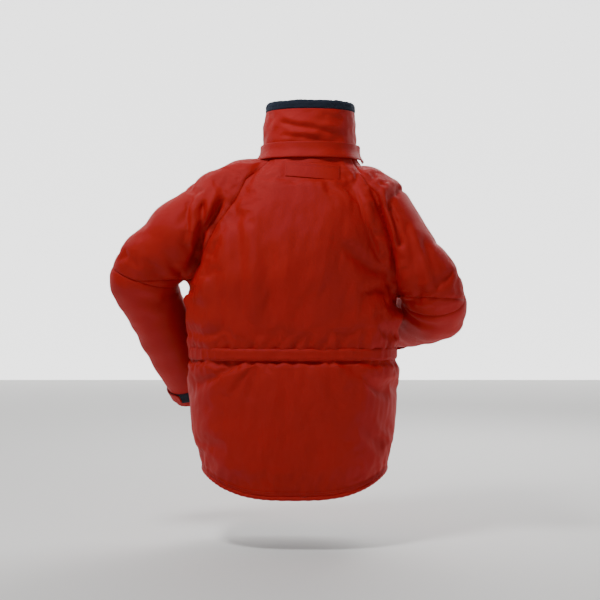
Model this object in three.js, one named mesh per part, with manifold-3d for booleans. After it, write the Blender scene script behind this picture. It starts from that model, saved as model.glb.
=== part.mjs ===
// Foul weather jacket for sailing, in its worn shape: a padded shell with raglan sleeves, a high
// fleece-lined collar, a front zip under a storm flap, bellows pockets, a waist drawcord and
// adjustable cuffs.
// Millimetres, +Z up. The front faces -Y and the wearer's left is +X. The origin is the middle of
// the neck seam's height on the body's own centre line, where the jacket sits on its wearer.
import * as THREE from "three";
import { mergeVertices } from "three/addons/utils/BufferGeometryUtils.js";
import Module from "manifold-3d";

const wasm = await Module();
wasm.setup();

// ---------- driving dimensions ----------
const GAP = 0.3; // clearance between neighbouring pieces
const SHELL = 6; // padded shell, outer cloth and wadding together
const LINING = 2;

const BACK_LENGTH = 776; // neck seam to the lowest edge of the tail's cloth
const UNDERARM_Z = -290; // height at which the sleeves leave the body
const SKIRT = BACK_LENGTH + UNDERARM_Z; // the body's length from there to the tail
const HALF_WIDTH = 243; // of the body at its widest, above the waist
const HEM_RISE_SIDE = 54; // how far the hem climbs from the tail to the side seams
const HEM_RISE_FRONT = 45;
const HEM_WARP = 150; // height above the tail over which the hem's shape fades out
const HEM_ROLL = 5; // radius of the rolled hem
const LINING_RAISED = 30; // the lining ends this far above the hem

const NECK_SHIFT = -38; // the neck stands off to the wearer's right
const NECK_HALF_WIDTH = 109;
const NECK_BACK = 95;
const COLLAR_RED = 100; // height of the collar's outer cloth
const COLLAR_ROLL = 21; // height of the fleece roll above it
const COLLAR_WALL = 5;
const FLEECE = 5;

const ZIP_BOTTOM_FRONT = 165; // front surface at the hem, ahead of the centre line
const ZIP_TOP_FRONT = 108; // the same at the top of the collar
const ZIP_HALF_GAP = 21; // centre of the zip to the edge of a front panel
const TAPE_THICK = 1.2;
const CHAIN_WIDTH = 3.8;
const CHAIN_THICK = 3;
const CHAIN_DEPTH = 2.6; // the chain's middle, behind the front surface
const WEB = 1.2; // the slider's web, between its two plates
const PLATE = 1.6;
const SLIDER_WIDTH = 14;
const SLIDER_LENGTH = 18;
const PIN_RADIUS = 0.8;
const PIN_STANDOFF = 3.4;
const PULLER_LENGTH = 42;
const PULLER_WIDTH = 9;
const PULLER_THICK = 1.8;
const SLIDER_PARK = 30; // the closed slider's distance from the top of the collar

const FLAP_INNER = -35; // the storm flap's free edge, from the centre of the zip
const FLAP_ROOT = 35;
const FLAP_THICK = 3.5;
const FLAP_STANDOFF = 6.2; // front cloth to the flap's inner face, the slider's room
const FLAP_BELOW_TOP = 92; // the flap ends below the closed slider
const SNAP_COUNT = 5;
const SNAP_RADIUS = 6;
const CAP_HEIGHT = 1.6;

const WAIST_Z = UNDERARM_Z - 0.35 * SKIRT;
const CHANNEL_HEIGHT = 28;
const CHANNEL_DEPTH = 7;
const CHANNEL_WALL = 1.2;
const CORD_RADIUS = 1.6;
const LOCK_WIDTH = 14;
const LOCK_DEPTH = 12;
const LOCK_HEIGHT = 20;
const BUTTON_RADIUS = 3.4;
const BUTTON_TRAVEL = 4;

const POCKET_NEAR = 48; // a pocket's sides, from the body's centre line
const POCKET_FAR = 158;
const POCKET_BOTTOM = UNDERARM_Z - 0.89 * SKIRT;
const POCKET_TOP = UNDERARM_Z - 0.53 * SKIRT;
const POCKET_DEPTH = 17;
const POCKET_WALL = 2.5;
const POCKET_FLAP_THICK = 2.6;
const POCKET_FLAP_RISE = 16; // from the pouch's mouth up to the flap's seam
const POCKET_FLAP_HANG = 54; // how far the flap hangs below the mouth
const POCKET_FLAP_SPARE = 3;
const HOOK_THICK = 1.2;

const HOOD_FLAP_TOP = 25;
const HOOD_FLAP_BOTTOM = -12;
const HOOD_FLAP_THICK = 2.6;
const HOOD_FLAP_FLARE = 5;

const PATCH_CENTRE_X = -45;
const PATCH_CENTRE_Z = -44;
const PATCH_WIDTH = 124;
const PATCH_HEIGHT = 36;
const PATCH_THICK = 1.6;
const PATCH_SLOPE = 0.087; // rise over run, down towards the wearer's right

const HANGER_HALF = 32;
const HANGER_STANDOFF = 14;
const HANGER_WIDTH = 8;
const HANGER_THICK = 1.6;

const CUFF_ROLL = 3.5;
const TAB_FROM = 8; // the tab's edges, back from the end of the sleeve
const TAB_TO = 38;
const TAB_ARC = 105; // degrees of the cuff that a tab wraps
const TAB_THICK = 2.8;
const STORM_CUFF_LENGTH = 55;
const STORM_CUFF_WALL = 3;
const WRIST = 36; // radius of the knitted storm cuff's opening

// ---------- small tools ----------
const v3 = (x, y, z) => new THREE.Vector3(x, y, z);
const mix = (a, b, t) => a + (b - a) * t;
const clamp01 = (t) => Math.min(1, Math.max(0, t));
const smooth = (t) => clamp01(t) ** 2 * (3 - 2 * clamp01(t));
const power = (value, exponent) => Math.sign(value) * Math.abs(value) ** exponent;

function solidOf(geometry) {
  const bare = new THREE.BufferGeometry().setAttribute("position", geometry.getAttribute("position"));
  if (geometry.index) bare.setIndex(geometry.index);
  const merged = mergeVertices(bare, 1e-3);
  const make = (triVerts) =>
    new wasm.Manifold(
      new wasm.Mesh({ numProp: 3, vertProperties: merged.attributes.position.array, triVerts }),
    );
  const tri = new Uint32Array(merged.index.array);
  const made = make(tri);
  if (made.volume() > 0) return made;
  return make(tri.map((_, i) => tri[i - (i % 3) + [0, 2, 1][i % 3]]));
}

function geometryOf(solid) {
  const { vertProperties, triVerts, numProp } = solid.getMesh();
  const count = vertProperties.length / numProp;
  const position = new Float32Array(count * 3);
  for (let i = 0; i < count; i++) {
    position.set(vertProperties.subarray(i * numProp, i * numProp + 3), i * 3);
  }
  return new THREE.BufferGeometry()
    .setAttribute("position", new THREE.BufferAttribute(position, 3))
    .setIndex(new THREE.BufferAttribute(new Uint32Array(triVerts), 1));
}

// A closed skin over rings of equal length. The ends are joined to each other, or closed with a fan
// to their middle, or with a strip for a flat section that is listed out along one face and back
// along the other.
function loft(rings, ends = "fan") {
  const n = rings[0].length;
  const points = rings.flat();
  const faces = [];
  const spans = ends === "joined" ? rings.length : rings.length - 1;
  for (let i = 0; i < spans; i++) {
    const next = ((i + 1) % rings.length) * n;
    for (let j = 0; j < n; j++) {
      const k = (j + 1) % n;
      faces.push([i * n + j, i * n + k, next + k], [i * n + j, next + k, next + j]);
    }
  }
  const closed = ends === "joined" ? [] : [0, rings.length - 1];
  closed.forEach((row) => {
    const at = row * n;
    const turn = row === 0 ? (a, b, c) => [a, c, b] : (a, b, c) => [a, b, c];
    if (ends === "fan") {
      const middle = rings[row].reduce((sum, p) => sum.add(p), v3(0, 0, 0)).divideScalar(n);
      points.push(middle);
      for (let j = 0; j < n; j++) faces.push(turn(points.length - 1, at + j, at + ((j + 1) % n)));
    } else {
      for (let j = 0; j + 1 < n / 2; j++) {
        const k = n - 1 - j;
        faces.push(turn(at + j, at + j + 1, at + k - 1), turn(at + j, at + k - 1, at + k));
      }
    }
  });
  const geometry = new THREE.BufferGeometry().setFromPoints(points);
  return solidOf(geometry.setIndex(faces.flat()));
}

function hexagon(radius) {
  const corner = (k) => new THREE.Vector2(radius, 0).rotateAround(new THREE.Vector2(), (Math.PI * k) / 3);
  return new THREE.Shape(Array.from({ length: 6 }, (_, k) => corner(k)));
}

const HUGE = 3000;

// Everything on the side of a plane that its normal points to.
function halfSpace(point, normal, offset = 0) {
  const turn = new THREE.Quaternion().setFromUnitVectors(v3(0, 0, 1), normal.clone().normalize());
  const cube = new THREE.BoxGeometry(HUGE, HUGE, HUGE).translate(0, 0, HUGE / 2 + offset);
  cube.applyQuaternion(turn).translate(point.x, point.y, point.z);
  return solidOf(cube);
}

const jacket = new THREE.Group();

function piece(name, solid, material, parent = jacket) {
  const mesh = new THREE.Mesh(geometryOf(solid), material);
  mesh.name = name;
  parent.add(mesh);
  return mesh;
}

// ---------- materials ----------
const cloth = (color, roughness) => new THREE.MeshStandardMaterial({ color, roughness, metalness: 0 });
const shellCloth = cloth("#b01c14", 0.62);
const bindingCloth = cloth("#b8231a", 0.6);
const fleece = cloth("#0d1626", 0.95);
const liningCloth = cloth("#141d30", 0.7);
const zipPlastic = cloth("#10131a", 0.4);
const hookTape = cloth("#0c1420", 0.9);
const knit = cloth("#0e1728", 0.9);
const cordCloth = cloth("#0c0f16", 0.8);
const nickel = new THREE.MeshStandardMaterial({ color: "#8d9096", roughness: 0.3, metalness: 1 });

// ---------- the body's own shape ----------
const HEM_FRONT_Z = -BACK_LENGTH + HEM_RISE_FRONT;
const COLLAR_TOP = COLLAR_RED + COLLAR_ROLL;

// The front closes on one straight line, so that the slider can run along it.
const zipFoot = v3(0, -ZIP_BOTTOM_FRONT, HEM_FRONT_Z);
const zipHead = v3(NECK_SHIFT, -ZIP_TOP_FRONT, COLLAR_TOP);
const zipAt = (z) => zipFoot.clone().lerp(zipHead, (z - zipFoot.z) / (zipHead.z - zipFoot.z));

// A height below the underarm, and a half width between the neck's and the body's.
const below = (share) => UNDERARM_Z - share * SKIRT;
const wide = (share) => mix(NECK_HALF_WIDTH, HALF_WIDTH, share);

// Horizontal sections: height, centre's sideways shift, half width, depth of the back, squareness.
const SECTIONS = [
  [-BACK_LENGTH, -4, wide(0.8), 158, 2.6],
  [below(0.87), -4, wide(0.84), 160, 2.6],
  [below(0.72), 0, wide(0.9), 158, 2.6],
  [below(0.58), 0, wide(0.94), 154, 2.6],
  [below(0.43), 0, wide(0.98), 148, 2.6],
  [WAIST_Z, 0, wide(0.985), 144, 2.6],
  [below(0.19), 3, HALF_WIDTH, 149, 2.6],
  [UNDERARM_Z, 6, wide(0.955), 154, 2.6],
  [-196, 0, wide(0.785), 150, 2.6],
  [-125, -8, wide(0.575), 139, 2.5],
  [-80, -18, wide(0.41), 127, 2.4],
  [-45, -28, wide(0.245), 113, 2.3],
  [-18, -36, wide(0.075), 100, 2.2],
  [0, NECK_SHIFT, NECK_HALF_WIDTH, NECK_BACK, 2.3],
  [COLLAR_RED * 0.6, NECK_SHIFT - 2, NECK_HALF_WIDTH - 3, NECK_BACK - 2, 2.3],
  [COLLAR_TOP, NECK_SHIFT - 3, NECK_HALF_WIDTH - 6, NECK_BACK - 4, 2.3],
];

function sectionAt(z) {
  const last = SECTIONS.length - 1;
  let i = SECTIONS.findIndex(([height]) => height > z) - 1;
  if (i === -2) i = last - 1;
  i = Math.max(0, i);
  const [low, high] = [SECTIONS[i], SECTIONS[i + 1]];
  const t = Math.min(1, Math.max(-0.2, (z - low[0]) / (high[0] - low[0])));
  const [shift, half, back, square] = low.slice(1).map((value, k) => mix(value, high[k + 1], t));
  return { shift, half, back, square, front: -zipAt(z).y };
}

// How far the hem's curve lifts a point that lies at share c of the half width.
function hemRise(c, isBack) {
  const centre = isBack ? 0 : HEM_RISE_FRONT;
  return centre + (HEM_RISE_SIDE - centre) * Math.abs(c) ** 3;
}

function lifted(z, c, isBack) {
  const share = clamp01((-BACK_LENGTH + HEM_WARP - z) / HEM_WARP);
  return z + hemRise(c, isBack) * share;
}

// A point of a section, pushed out by offset; c and s are its shares of the half width and depth.
function sectionPoint(z, c, s, offset) {
  const { shift, half, back, front, square } = sectionAt(z);
  const depth = s > 0 ? back : front;
  const normal = v3(power(c, square - 1) / half, power(s, square - 1) / depth, 0).normalize();
  return v3(shift + c * half, s * depth, lifted(z, c, s > 0)).addScaledVector(normal, offset);
}

// By angle: 0 is the wearer's left side, 90 the middle of the back.
function bodyAround(degrees, z, offset = 0) {
  const angle = THREE.MathUtils.degToRad(degrees);
  const e = 2 / sectionAt(z).square;
  return sectionPoint(z, power(Math.cos(angle), e), power(Math.sin(angle), e), offset);
}

// By sideways place, on the front or the back.
function bodyAcross(x, z, offset, isBack) {
  const { shift, half, square } = sectionAt(z);
  const c = (x - shift) / half;
  const s = (1 - Math.abs(c) ** square) ** (1 / square);
  return sectionPoint(z, c, isBack ? s : -s, offset);
}

const BODY_SIDES = 28;
const LEVELS = [
  ...[0.885, 0.72, 0.535, 0.35, 0.19, 0.05].map(below),
  ...[-250, -190, -140, -95, -60, -32, -14],
];

// The body as a solid. A smaller one, with a negative offset, runs on past both ends, so that it
// opens them when it is cut away. Where the shoulders lie flat, thickness is taken in height.
function bodySolid(offset, runOn, hem = -BACK_LENGTH) {
  const sinks = (z) => -offset * smooth((z + 200) / 130);
  const neckTop = -GAP / 2;
  const heights = [hem, ...LEVELS, neckTop];
  const rings = heights.map((height) => {
    const ring = [];
    for (let k = 0; k < BODY_SIDES; k++) {
      const p = bodyAround((360 * k) / BODY_SIDES, height, offset);
      p.z -= height === neckTop ? 0 : sinks(height);
      ring.push(p);
    }
    return ring;
  });
  if (runOn > 0) {
    rings.unshift(rings[0].map((p) => p.clone().setZ(p.z - runOn)));
    rings.push(rings.at(-1).map((p) => p.clone().setZ(p.z + runOn)));
  }
  return loft(rings);
}

// ---------- sleeves ----------
const ELBOW_SPARE = 8; // radius of the crease inside the elbow
const ELBOW_BULGE = 13;
const SLEEVE_FLATNESS = 0.86; // a sleeve's depth against its width
const ARC_STEPS = 4;
const SLEEVE_SIDES = 14;

const ARMS = {
  left: {
    path: {
      neck: v3(30, 5, -72),
      yoke: v3(92, 6, -97),
      shoulder: v3(158, 8, -134),
      elbow: v3(362, 20, -272),
      cuff: v3(242, -182, -562),
    },
    radius: { neck: 74, yoke: 100, shoulder: 104, elbow: 80, fore: 67, cuff: 58 },
    seam: [[40, 10], [57, -18], [107, -63], [130, -109], [173, -164], [236, -290]],
  },
  right: {
    path: {
      neck: v3(-95, 5, -70),
      yoke: v3(-128, 6, -96),
      shoulder: v3(-168, 8, -139),
      elbow: v3(-362, 62, -345),
      cuff: v3(-240, -255, -406),
    },
    radius: { neck: 66, yoke: 94, shoulder: 108, elbow: 82, fore: 66, cuff: 58 },
    seam: [[-130, 10], [-139, -18], [-173, -73], [-191, -98], [-223, -209], [-242, -330]],
  },
};

function armFrame({ path, radius }) {
  const upper = path.elbow.clone().sub(path.shoulder).normalize();
  const fore = path.cuff.clone().sub(path.elbow).normalize();
  const bend = upper.angleTo(fore);
  const inward = fore.clone().addScaledVector(upper, -fore.dot(upper)).normalize();
  const arc = radius.elbow + ELBOW_SPARE;
  const reach = arc * Math.tan(bend / 2);
  const pivot = path.elbow.clone().addScaledVector(upper, -reach).addScaledVector(inward, arc);
  const across = upper.clone().cross(inward).normalize();
  return { upper, fore, bend, inward, arc, reach, pivot, across };
}

// Stations down a sleeve: centre, direction, width and bulge.
function stations(arm) {
  const { path, radius } = arm;
  const { upper, fore, bend, inward, arc, reach, pivot } = armFrame(arm);
  const list = [];
  const toYoke = path.yoke.clone().sub(path.neck).normalize();
  const toShoulder = path.shoulder.clone().sub(path.yoke).normalize();
  const atYoke = toYoke.clone().add(toShoulder).normalize();
  const atShoulder = toShoulder.clone().add(upper).normalize();
  list.push({ at: path.neck, along: toYoke, r: radius.neck, bulge: 0 });
  list.push({ at: path.yoke, along: atYoke, r: radius.yoke, bulge: 0 });
  list.push({ at: path.shoulder, along: atShoulder, r: radius.shoulder, bulge: 0 });
  const bendStart = path.elbow.clone().addScaledVector(upper, -reach);
  const middle = path.shoulder.clone().lerp(bendStart, 0.5);
  list.push({ at: middle, along: upper, r: mix(radius.shoulder, radius.elbow, 0.35), bulge: 0 });
  for (let k = 0; k <= ARC_STEPS; k++) {
    const share = k / ARC_STEPS;
    const turn = bend * share;
    const outward = inward.clone().multiplyScalar(-Math.cos(turn)).addScaledVector(upper, Math.sin(turn));
    const along = upper.clone().multiplyScalar(Math.cos(turn)).addScaledVector(inward, Math.sin(turn));
    const r = mix(radius.elbow, mix(radius.elbow, radius.fore, 0.6), share);
    const bulge = ELBOW_BULGE * Math.sin(Math.PI * share);
    list.push({ at: pivot.clone().addScaledVector(outward, arc), along, r, bulge });
  }
  const bendEnd = list.at(-1).at;
  [0.5, 1].forEach((share) => {
    const r = mix(radius.fore, radius.cuff, 2 * share - 1);
    list.push({ at: bendEnd.clone().lerp(path.cuff, share), along: fore, r, bulge: 0 });
  });
  return list;
}

function sleeveRing({ at, along, r, bulge }, across, offset) {
  const outward = across.clone().cross(along).normalize().negate();
  const side = along.clone().cross(outward).normalize();
  const ring = [];
  for (let k = 0; k < SLEEVE_SIDES; k++) {
    const angle = (2 * Math.PI * k) / SLEEVE_SIDES;
    const wide = r + offset + bulge * Math.max(0, Math.cos(angle));
    const deep = r * SLEEVE_FLATNESS + offset;
    const p = at.clone().addScaledVector(outward, Math.cos(angle) * wide);
    ring.push(p.addScaledVector(side, Math.sin(angle) * deep));
  }
  return ring;
}

function sleeveSolid(arm, offset, runOn) {
  const { across } = armFrame(arm);
  const list = stations(arm);
  const end = list.at(-1);
  if (runOn > 0) list.push({ ...end, at: end.at.clone().addScaledVector(end.along, runOn) });
  return loft(list.map((station) => sleeveRing(station, across, offset)));
}

// Everything on one side of the elbow seam, which lies along the bisector of the bend.
function beyondElbow(arm, towardsCuff, distance) {
  const { upper, fore, pivot } = armFrame(arm);
  const normal = upper.clone().add(fore).normalize();
  return halfSpace(pivot, towardsCuff ? normal : normal.negate(), distance);
}

// ---------- planes and seams that cut the shell ----------
const zipDirection = zipHead.clone().sub(zipFoot).normalize();
const zipAcross = v3(1, 0, 0).addScaledVector(zipDirection, -zipDirection.x).normalize();
const zipInward = zipDirection.clone().cross(zipAcross).normalize();
const zipLength = zipHead.distanceTo(zipFoot);
const zipFrame = new THREE.Matrix4().makeBasis(zipAcross, zipInward, zipDirection).setPosition(zipFoot);

function besideZip(sign) {
  return halfSpace(zipFoot, zipAcross.clone().multiplyScalar(sign), ZIP_HALF_GAP);
}

const frontHalf = halfSpace(v3(0, 0, 0), v3(0, -1, 0), GAP / 2);
const backHalf = halfSpace(v3(0, 0, 0), v3(0, 1, 0), GAP / 2);

// The sleeve's side of a raglan seam, whose line is drawn on the body's height and width.
function beyondSeam({ seam }, shift) {
  const outwards = Math.sign(seam.at(-1)[0]);
  const shape = new THREE.Shape();
  shape.moveTo(outwards * HUGE, seam[0][1]);
  seam.forEach(([x, z]) => shape.lineTo(x + outwards * shift, z));
  shape.lineTo(outwards * HUGE, seam.at(-1)[1]);
  const geometry = new THREE.ExtrudeGeometry(shape, { depth: HUGE, bevelEnabled: false });
  return solidOf(geometry.translate(0, 0, -HUGE / 2).rotateX(Math.PI / 2));
}

const RUN_ON = 40;
const ELBOW_RUN_ON = 2;

// Body and upper sleeves together. A hollowing one runs on past every end.
function garment(offset, hollowing, hem) {
  let solid = bodySolid(offset, hollowing ? RUN_ON : 0, hem);
  for (const arm of Object.values(ARMS)) {
    const end = beyondElbow(arm, false, hollowing ? -ELBOW_RUN_ON : GAP / 2);
    solid = solid.add(sleeveSolid(arm, offset, 0).intersect(end));
  }
  return solid;
}

const largest = (solid) => solid.decompose().sort((a, b) => b.volume() - a.volume())[0];

// ---------- outer shell, cut into its panels ----------
const shell = garment(0, false).subtract(garment(-SHELL, true));
const bodyCloth = shell.subtract(beyondSeam(ARMS.left, -GAP / 2)).subtract(beyondSeam(ARMS.right, -GAP / 2));
piece("back_panel", largest(bodyCloth.intersect(backHalf)), shellCloth);
for (const [side, sign] of [["left", 1], ["right", -1]]) {
  const arm = ARMS[side];
  const front = bodyCloth.intersect(frontHalf).intersect(besideZip(sign));
  piece(`${side}_front_panel`, largest(front), shellCloth);
  piece(`${side}_upper_sleeve`, largest(shell.intersect(beyondSeam(arm, GAP / 2))), shellCloth);
  const forearm = sleeveSolid(arm, 0, 0).intersect(beyondElbow(arm, true, GAP / 2));
  piece(`${side}_forearm_sleeve`, largest(forearm.subtract(sleeveSolid(arm, -SHELL, RUN_ON))), shellCloth);
}

// ---------- lining ----------
const liningHem = -BACK_LENGTH + LINING_RAISED;
const liningOutside = garment(-SHELL - GAP, false, liningHem);
const liningShell = liningOutside.subtract(garment(-SHELL - GAP - LINING, true, liningHem));
const zipOpening = halfSpace(zipFoot, zipAcross, -ZIP_HALF_GAP)
  .intersect(halfSpace(zipFoot, zipAcross.clone().negate(), -ZIP_HALF_GAP))
  .intersect(frontHalf);
piece("body_lining", largest(liningShell.subtract(zipOpening)), liningCloth);

// ---------- collar ----------
const COLLAR_SIDES = 24;

// A ring of the collar. Below the neck seam it keeps the seam's outline.
function collarRing(z, offset) {
  const ring = [];
  for (let k = 0; k < COLLAR_SIDES; k++) {
    ring.push(bodyAround((360 * k) / COLLAR_SIDES, Math.max(0, z), offset).setZ(z));
  }
  return ring;
}

function collarSolid(profile) {
  return loft(profile.map(([z, offset]) => collarRing(z, offset)));
}

const collarBase = GAP / 2;
const collarPuff = 2;
const collarOutside = collarSolid([
  [collarBase, 0],
  [COLLAR_RED * 0.5, collarPuff],
  [COLLAR_RED, 0],
]);
// A hollow with straight walls from the neck seam up to the collar's edge, open past both.
function collarHollow(offset, top) {
  return collarSolid([
    [collarBase - RUN_ON, offset],
    [collarBase, offset],
    [COLLAR_RED, offset],
    [top, offset],
    [top + RUN_ON, offset],
  ]);
}
const collarInside = collarHollow(-COLLAR_WALL, COLLAR_RED + 1);
piece("collar", largest(collarOutside.subtract(collarInside).subtract(zipOpening)), shellCloth);

const fleeceWall = COLLAR_WALL + GAP;
const fleeceOutside = collarSolid([
  [collarBase, -fleeceWall],
  [COLLAR_RED, -fleeceWall],
  [COLLAR_RED + 2, -fleeceWall],
]).add(
  collarSolid([
    [COLLAR_RED + GAP, 0],
    [COLLAR_TOP - COLLAR_ROLL * 0.45, 1],
    [COLLAR_TOP - COLLAR_ROLL * 0.15, -1.5],
    [COLLAR_TOP, -fleeceWall],
  ]),
);
const fleeceInside = collarHollow(-fleeceWall - FLEECE, COLLAR_TOP);
piece("fleece_collar_lining", largest(fleeceOutside.subtract(fleeceInside).subtract(zipOpening)), fleece);

// ---------- pieces seated on the cloth ----------
const clothOutside = garment(GAP, false).add(
  collarSolid([
    [collarBase - GAP, GAP],
    [COLLAR_RED * 0.5, collarPuff + GAP],
    [COLLAR_TOP, GAP],
  ]),
);
const seated = (solid) => largest(solid.subtract(clothOutside));
const SUNK = 4; // how deep a piece is drawn before the cloth's own shape is taken off it

// A band around the body, between two angles: rows of height, inner offset and outer offset.
function band(from, to, steps, rows) {
  const angles = Array.from({ length: steps + 1 }, (_, i) => mix(from, to, i / steps));
  return loft(
    rows.map(([z, inner, outer]) => [
      ...angles.map((angle) => bodyAround(angle, z, outer)),
      ...angles.toReversed().map((angle) => bodyAround(angle, z, inner)),
    ]),
    "strip",
  );
}

// The same between two sideways places, on the front or the back.
function slab(from, to, steps, rows, isBack = false, slope = 0) {
  const places = Array.from({ length: steps + 1 }, (_, i) => mix(from, to, i / steps));
  const point = (x, z, offset) => bodyAcross(x, z + slope * (x - mix(from, to, 0.5)), offset, isBack);
  return loft(
    rows.map(([z, inner, outer]) => [
      ...places.map((x) => point(x, z, outer)),
      ...places.toReversed().map((x) => point(x, z, inner)),
    ]),
    "strip",
  );
}

const flapOuter = HOOD_FLAP_FLARE + HOOD_FLAP_THICK;
const hoodFlap = band(-14, 194, 18, [
  [HOOD_FLAP_BOTTOM, HOOD_FLAP_FLARE, flapOuter],
  [mix(HOOD_FLAP_BOTTOM, HOOD_FLAP_TOP, 0.4), HOOD_FLAP_FLARE - 1, flapOuter - 1],
  [HOOD_FLAP_TOP - 5, GAP, HOOD_FLAP_THICK + 1.5],
  [HOOD_FLAP_TOP, -SUNK, HOOD_FLAP_THICK],
]);
piece("hood_flap", seated(hoodFlap), shellCloth);

const patchHalf = PATCH_WIDTH / 2;
const backPatch = slab(
  PATCH_CENTRE_X - patchHalf,
  PATCH_CENTRE_X + patchHalf,
  8,
  [-0.5, 0, 0.5].map((t) => [PATCH_CENTRE_Z + t * PATCH_HEIGHT, -SUNK, PATCH_THICK]),
  true,
  PATCH_SLOPE,
);
piece("back_patch", seated(backPatch), shellCloth);

const hemRing = [];
for (let k = 0; k <= 44; k++) {
  const p = bodyAround(-90 + (360 * k) / 44, -BACK_LENGTH, -SHELL / 2);
  hemRing.push(p.setZ(p.z - HEM_ROLL - GAP));
}
const hemCurve = new THREE.CatmullRomCurve3(hemRing);
const hemSection = hexagon(HEM_ROLL);
const hemRun = { steps: 44, extrudePath: hemCurve, bevelEnabled: false };
const hemTube = solidOf(new THREE.ExtrudeGeometry(hemSection, hemRun));
const clothAbove = garment(GAP, false, -BACK_LENGTH - GAP);
piece("hem_binding", largest(hemTube.subtract(zipOpening).subtract(clothAbove)), bindingCloth);

// ---------- zip ----------
// In the zip's own frame x runs across the front, y into the body and z up along the zip.
function inZip(geometry) {
  return solidOf(geometry.applyMatrix4(zipFrame));
}

function zipBox([x0, x1], [y0, y1], [z0, z1]) {
  const geometry = new THREE.BoxGeometry(x1 - x0, y1 - y0, z1 - z0);
  return inZip(geometry.translate((x0 + x1) / 2, (y0 + y1) / 2, (z0 + z1) / 2));
}

// A round piece that stands on the front, between two depths.
function zipDisc(radius, [y0, y1], x, z) {
  const geometry = new THREE.CylinderGeometry(radius, radius, y1 - y0, 12);
  return inZip(geometry.translate(x, (y0 + y1) / 2, z));
}

// A round piece whose axis runs across the front.
function zipRod(radius, [x0, x1], y, z, sides = 12) {
  const geometry = new THREE.CylinderGeometry(radius, radius, x1 - x0, sides).rotateZ(Math.PI / 2);
  return inZip(geometry.translate((x0 + x1) / 2, y, z));
}

const chainInner = WEB / 2 + GAP;
const chainOuter = chainInner + CHAIN_WIDTH;
const chainFront = CHAIN_DEPTH - CHAIN_THICK / 2;
const chainBack = CHAIN_DEPTH + CHAIN_THICK / 2;
const STOP_HEIGHT = 4;
const STOP_PROUD = 1;
const BOX_HEIGHT = 12;
const tapeEnds = [2, zipLength - 8];
const chainEnds = [tapeEnds[0] + BOX_HEIGHT + GAP, tapeEnds[1] - STOP_HEIGHT - GAP];
const stopDepth = [chainFront - STOP_PROUD, chainBack + STOP_PROUD];
const tapeDepth = [CHAIN_DEPTH - TAPE_THICK / 2, CHAIN_DEPTH + TAPE_THICK / 2];
const across = (sign, a, b) => (sign > 0 ? [a, b] : [-b, -a]);

for (const [side, sign] of [["left", 1], ["right", -1]]) {
  const tapeX = across(sign, chainOuter + GAP, ZIP_HALF_GAP - GAP);
  const chainX = across(sign, chainInner, chainOuter);
  piece(`${side}_zip_tape`, zipBox(tapeX, tapeDepth, tapeEnds), liningCloth);
  piece(`${side}_zip_chain`, zipBox(chainX, [chainFront, chainBack], chainEnds), zipPlastic);
  piece(`${side}_zip_top_stop`, zipBox(chainX, stopDepth, [chainEnds[1] + GAP, tapeEnds[1]]), zipPlastic);
}
const boxEnds = [tapeEnds[0], tapeEnds[0] + BOX_HEIGHT];
piece("zip_bottom_box", zipBox([-chainOuter, chainOuter], stopDepth, boxEnds), zipPlastic);

const RUN = 0.4; // clearance of the slider's plates and of its puller
const EAR = 1.2;
const EYE_WALL = 1;
const sliderZ = zipLength - SLIDER_PARK;
const plateFront = [chainFront - RUN - PLATE, chainFront - RUN];
const plateBack = [chainBack + RUN, chainBack + RUN + PLATE];
const pullerNeck = 2.9;
const pinY = -PIN_STANDOFF;
const earEnds = [pinY - PIN_RADIUS - 0.8, plateFront[1]];
const sliderX = [-SLIDER_WIDTH / 2, SLIDER_WIDTH / 2];
const sliderEnds = [sliderZ - SLIDER_LENGTH / 2, sliderZ + SLIDER_LENGTH / 2];
const webEnds = [sliderZ + 1, sliderEnds[1]];
let slider = zipBox(sliderX, plateFront, sliderEnds)
  .add(zipBox(sliderX, plateBack, sliderEnds))
  .add(zipBox([-WEB / 2, WEB / 2], [plateFront[0], plateBack[1]], webEnds))
  .add(zipRod(PIN_RADIUS, [-pullerNeck - RUN - EAR, pullerNeck + RUN + EAR], pinY, sliderZ));
for (const sign of [1, -1]) {
  const earX = across(sign, pullerNeck + RUN, pullerNeck + RUN + EAR);
  slider = slider.add(zipBox(earX, earEnds, [sliderZ - 1.8, sliderZ + 1.8]));
}
piece("zip_slider", slider, nickel);

const eyeHole = PIN_RADIUS + RUN;
const eyeOuter = eyeHole + EYE_WALL;
const neckX = [-pullerNeck, pullerNeck];
const pullerX = [-PULLER_WIDTH / 2, PULLER_WIDTH / 2];
const pullerY = [pinY - PULLER_THICK / 2, pinY + PULLER_THICK / 2];
const earsClear = sliderZ - eyeOuter - 2;
const puller = zipRod(eyeOuter, neckX, pinY, sliderZ)
  .add(zipBox(neckX, pullerY, [earsClear - 1, sliderZ - eyeHole]))
  .add(zipBox(pullerX, pullerY, [sliderZ - PULLER_LENGTH, earsClear]))
  .subtract(zipRod(eyeHole, [-PULLER_WIDTH, PULLER_WIDTH], pinY, sliderZ));
piece("zip_puller", puller, nickel);

// ---------- storm flap ----------
const ROOT_WIDTH = 4;
const REACH = 12; // how far a piece is drawn into the front before the cloth is taken off it
const flapEnds = [tapeEnds[0] + 4, zipLength - FLAP_BELOW_TOP];
const flapY = [-FLAP_STANDOFF - FLAP_THICK, -FLAP_STANDOFF];
piece("storm_flap", zipBox([FLAP_INNER, FLAP_ROOT], flapY, flapEnds), shellCloth);
const rootX = [FLAP_ROOT - ROOT_WIDTH, FLAP_ROOT];
piece("storm_flap_root", seated(zipBox(rootX, [GAP - FLAP_STANDOFF, REACH], flapEnds)), shellCloth);

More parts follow.
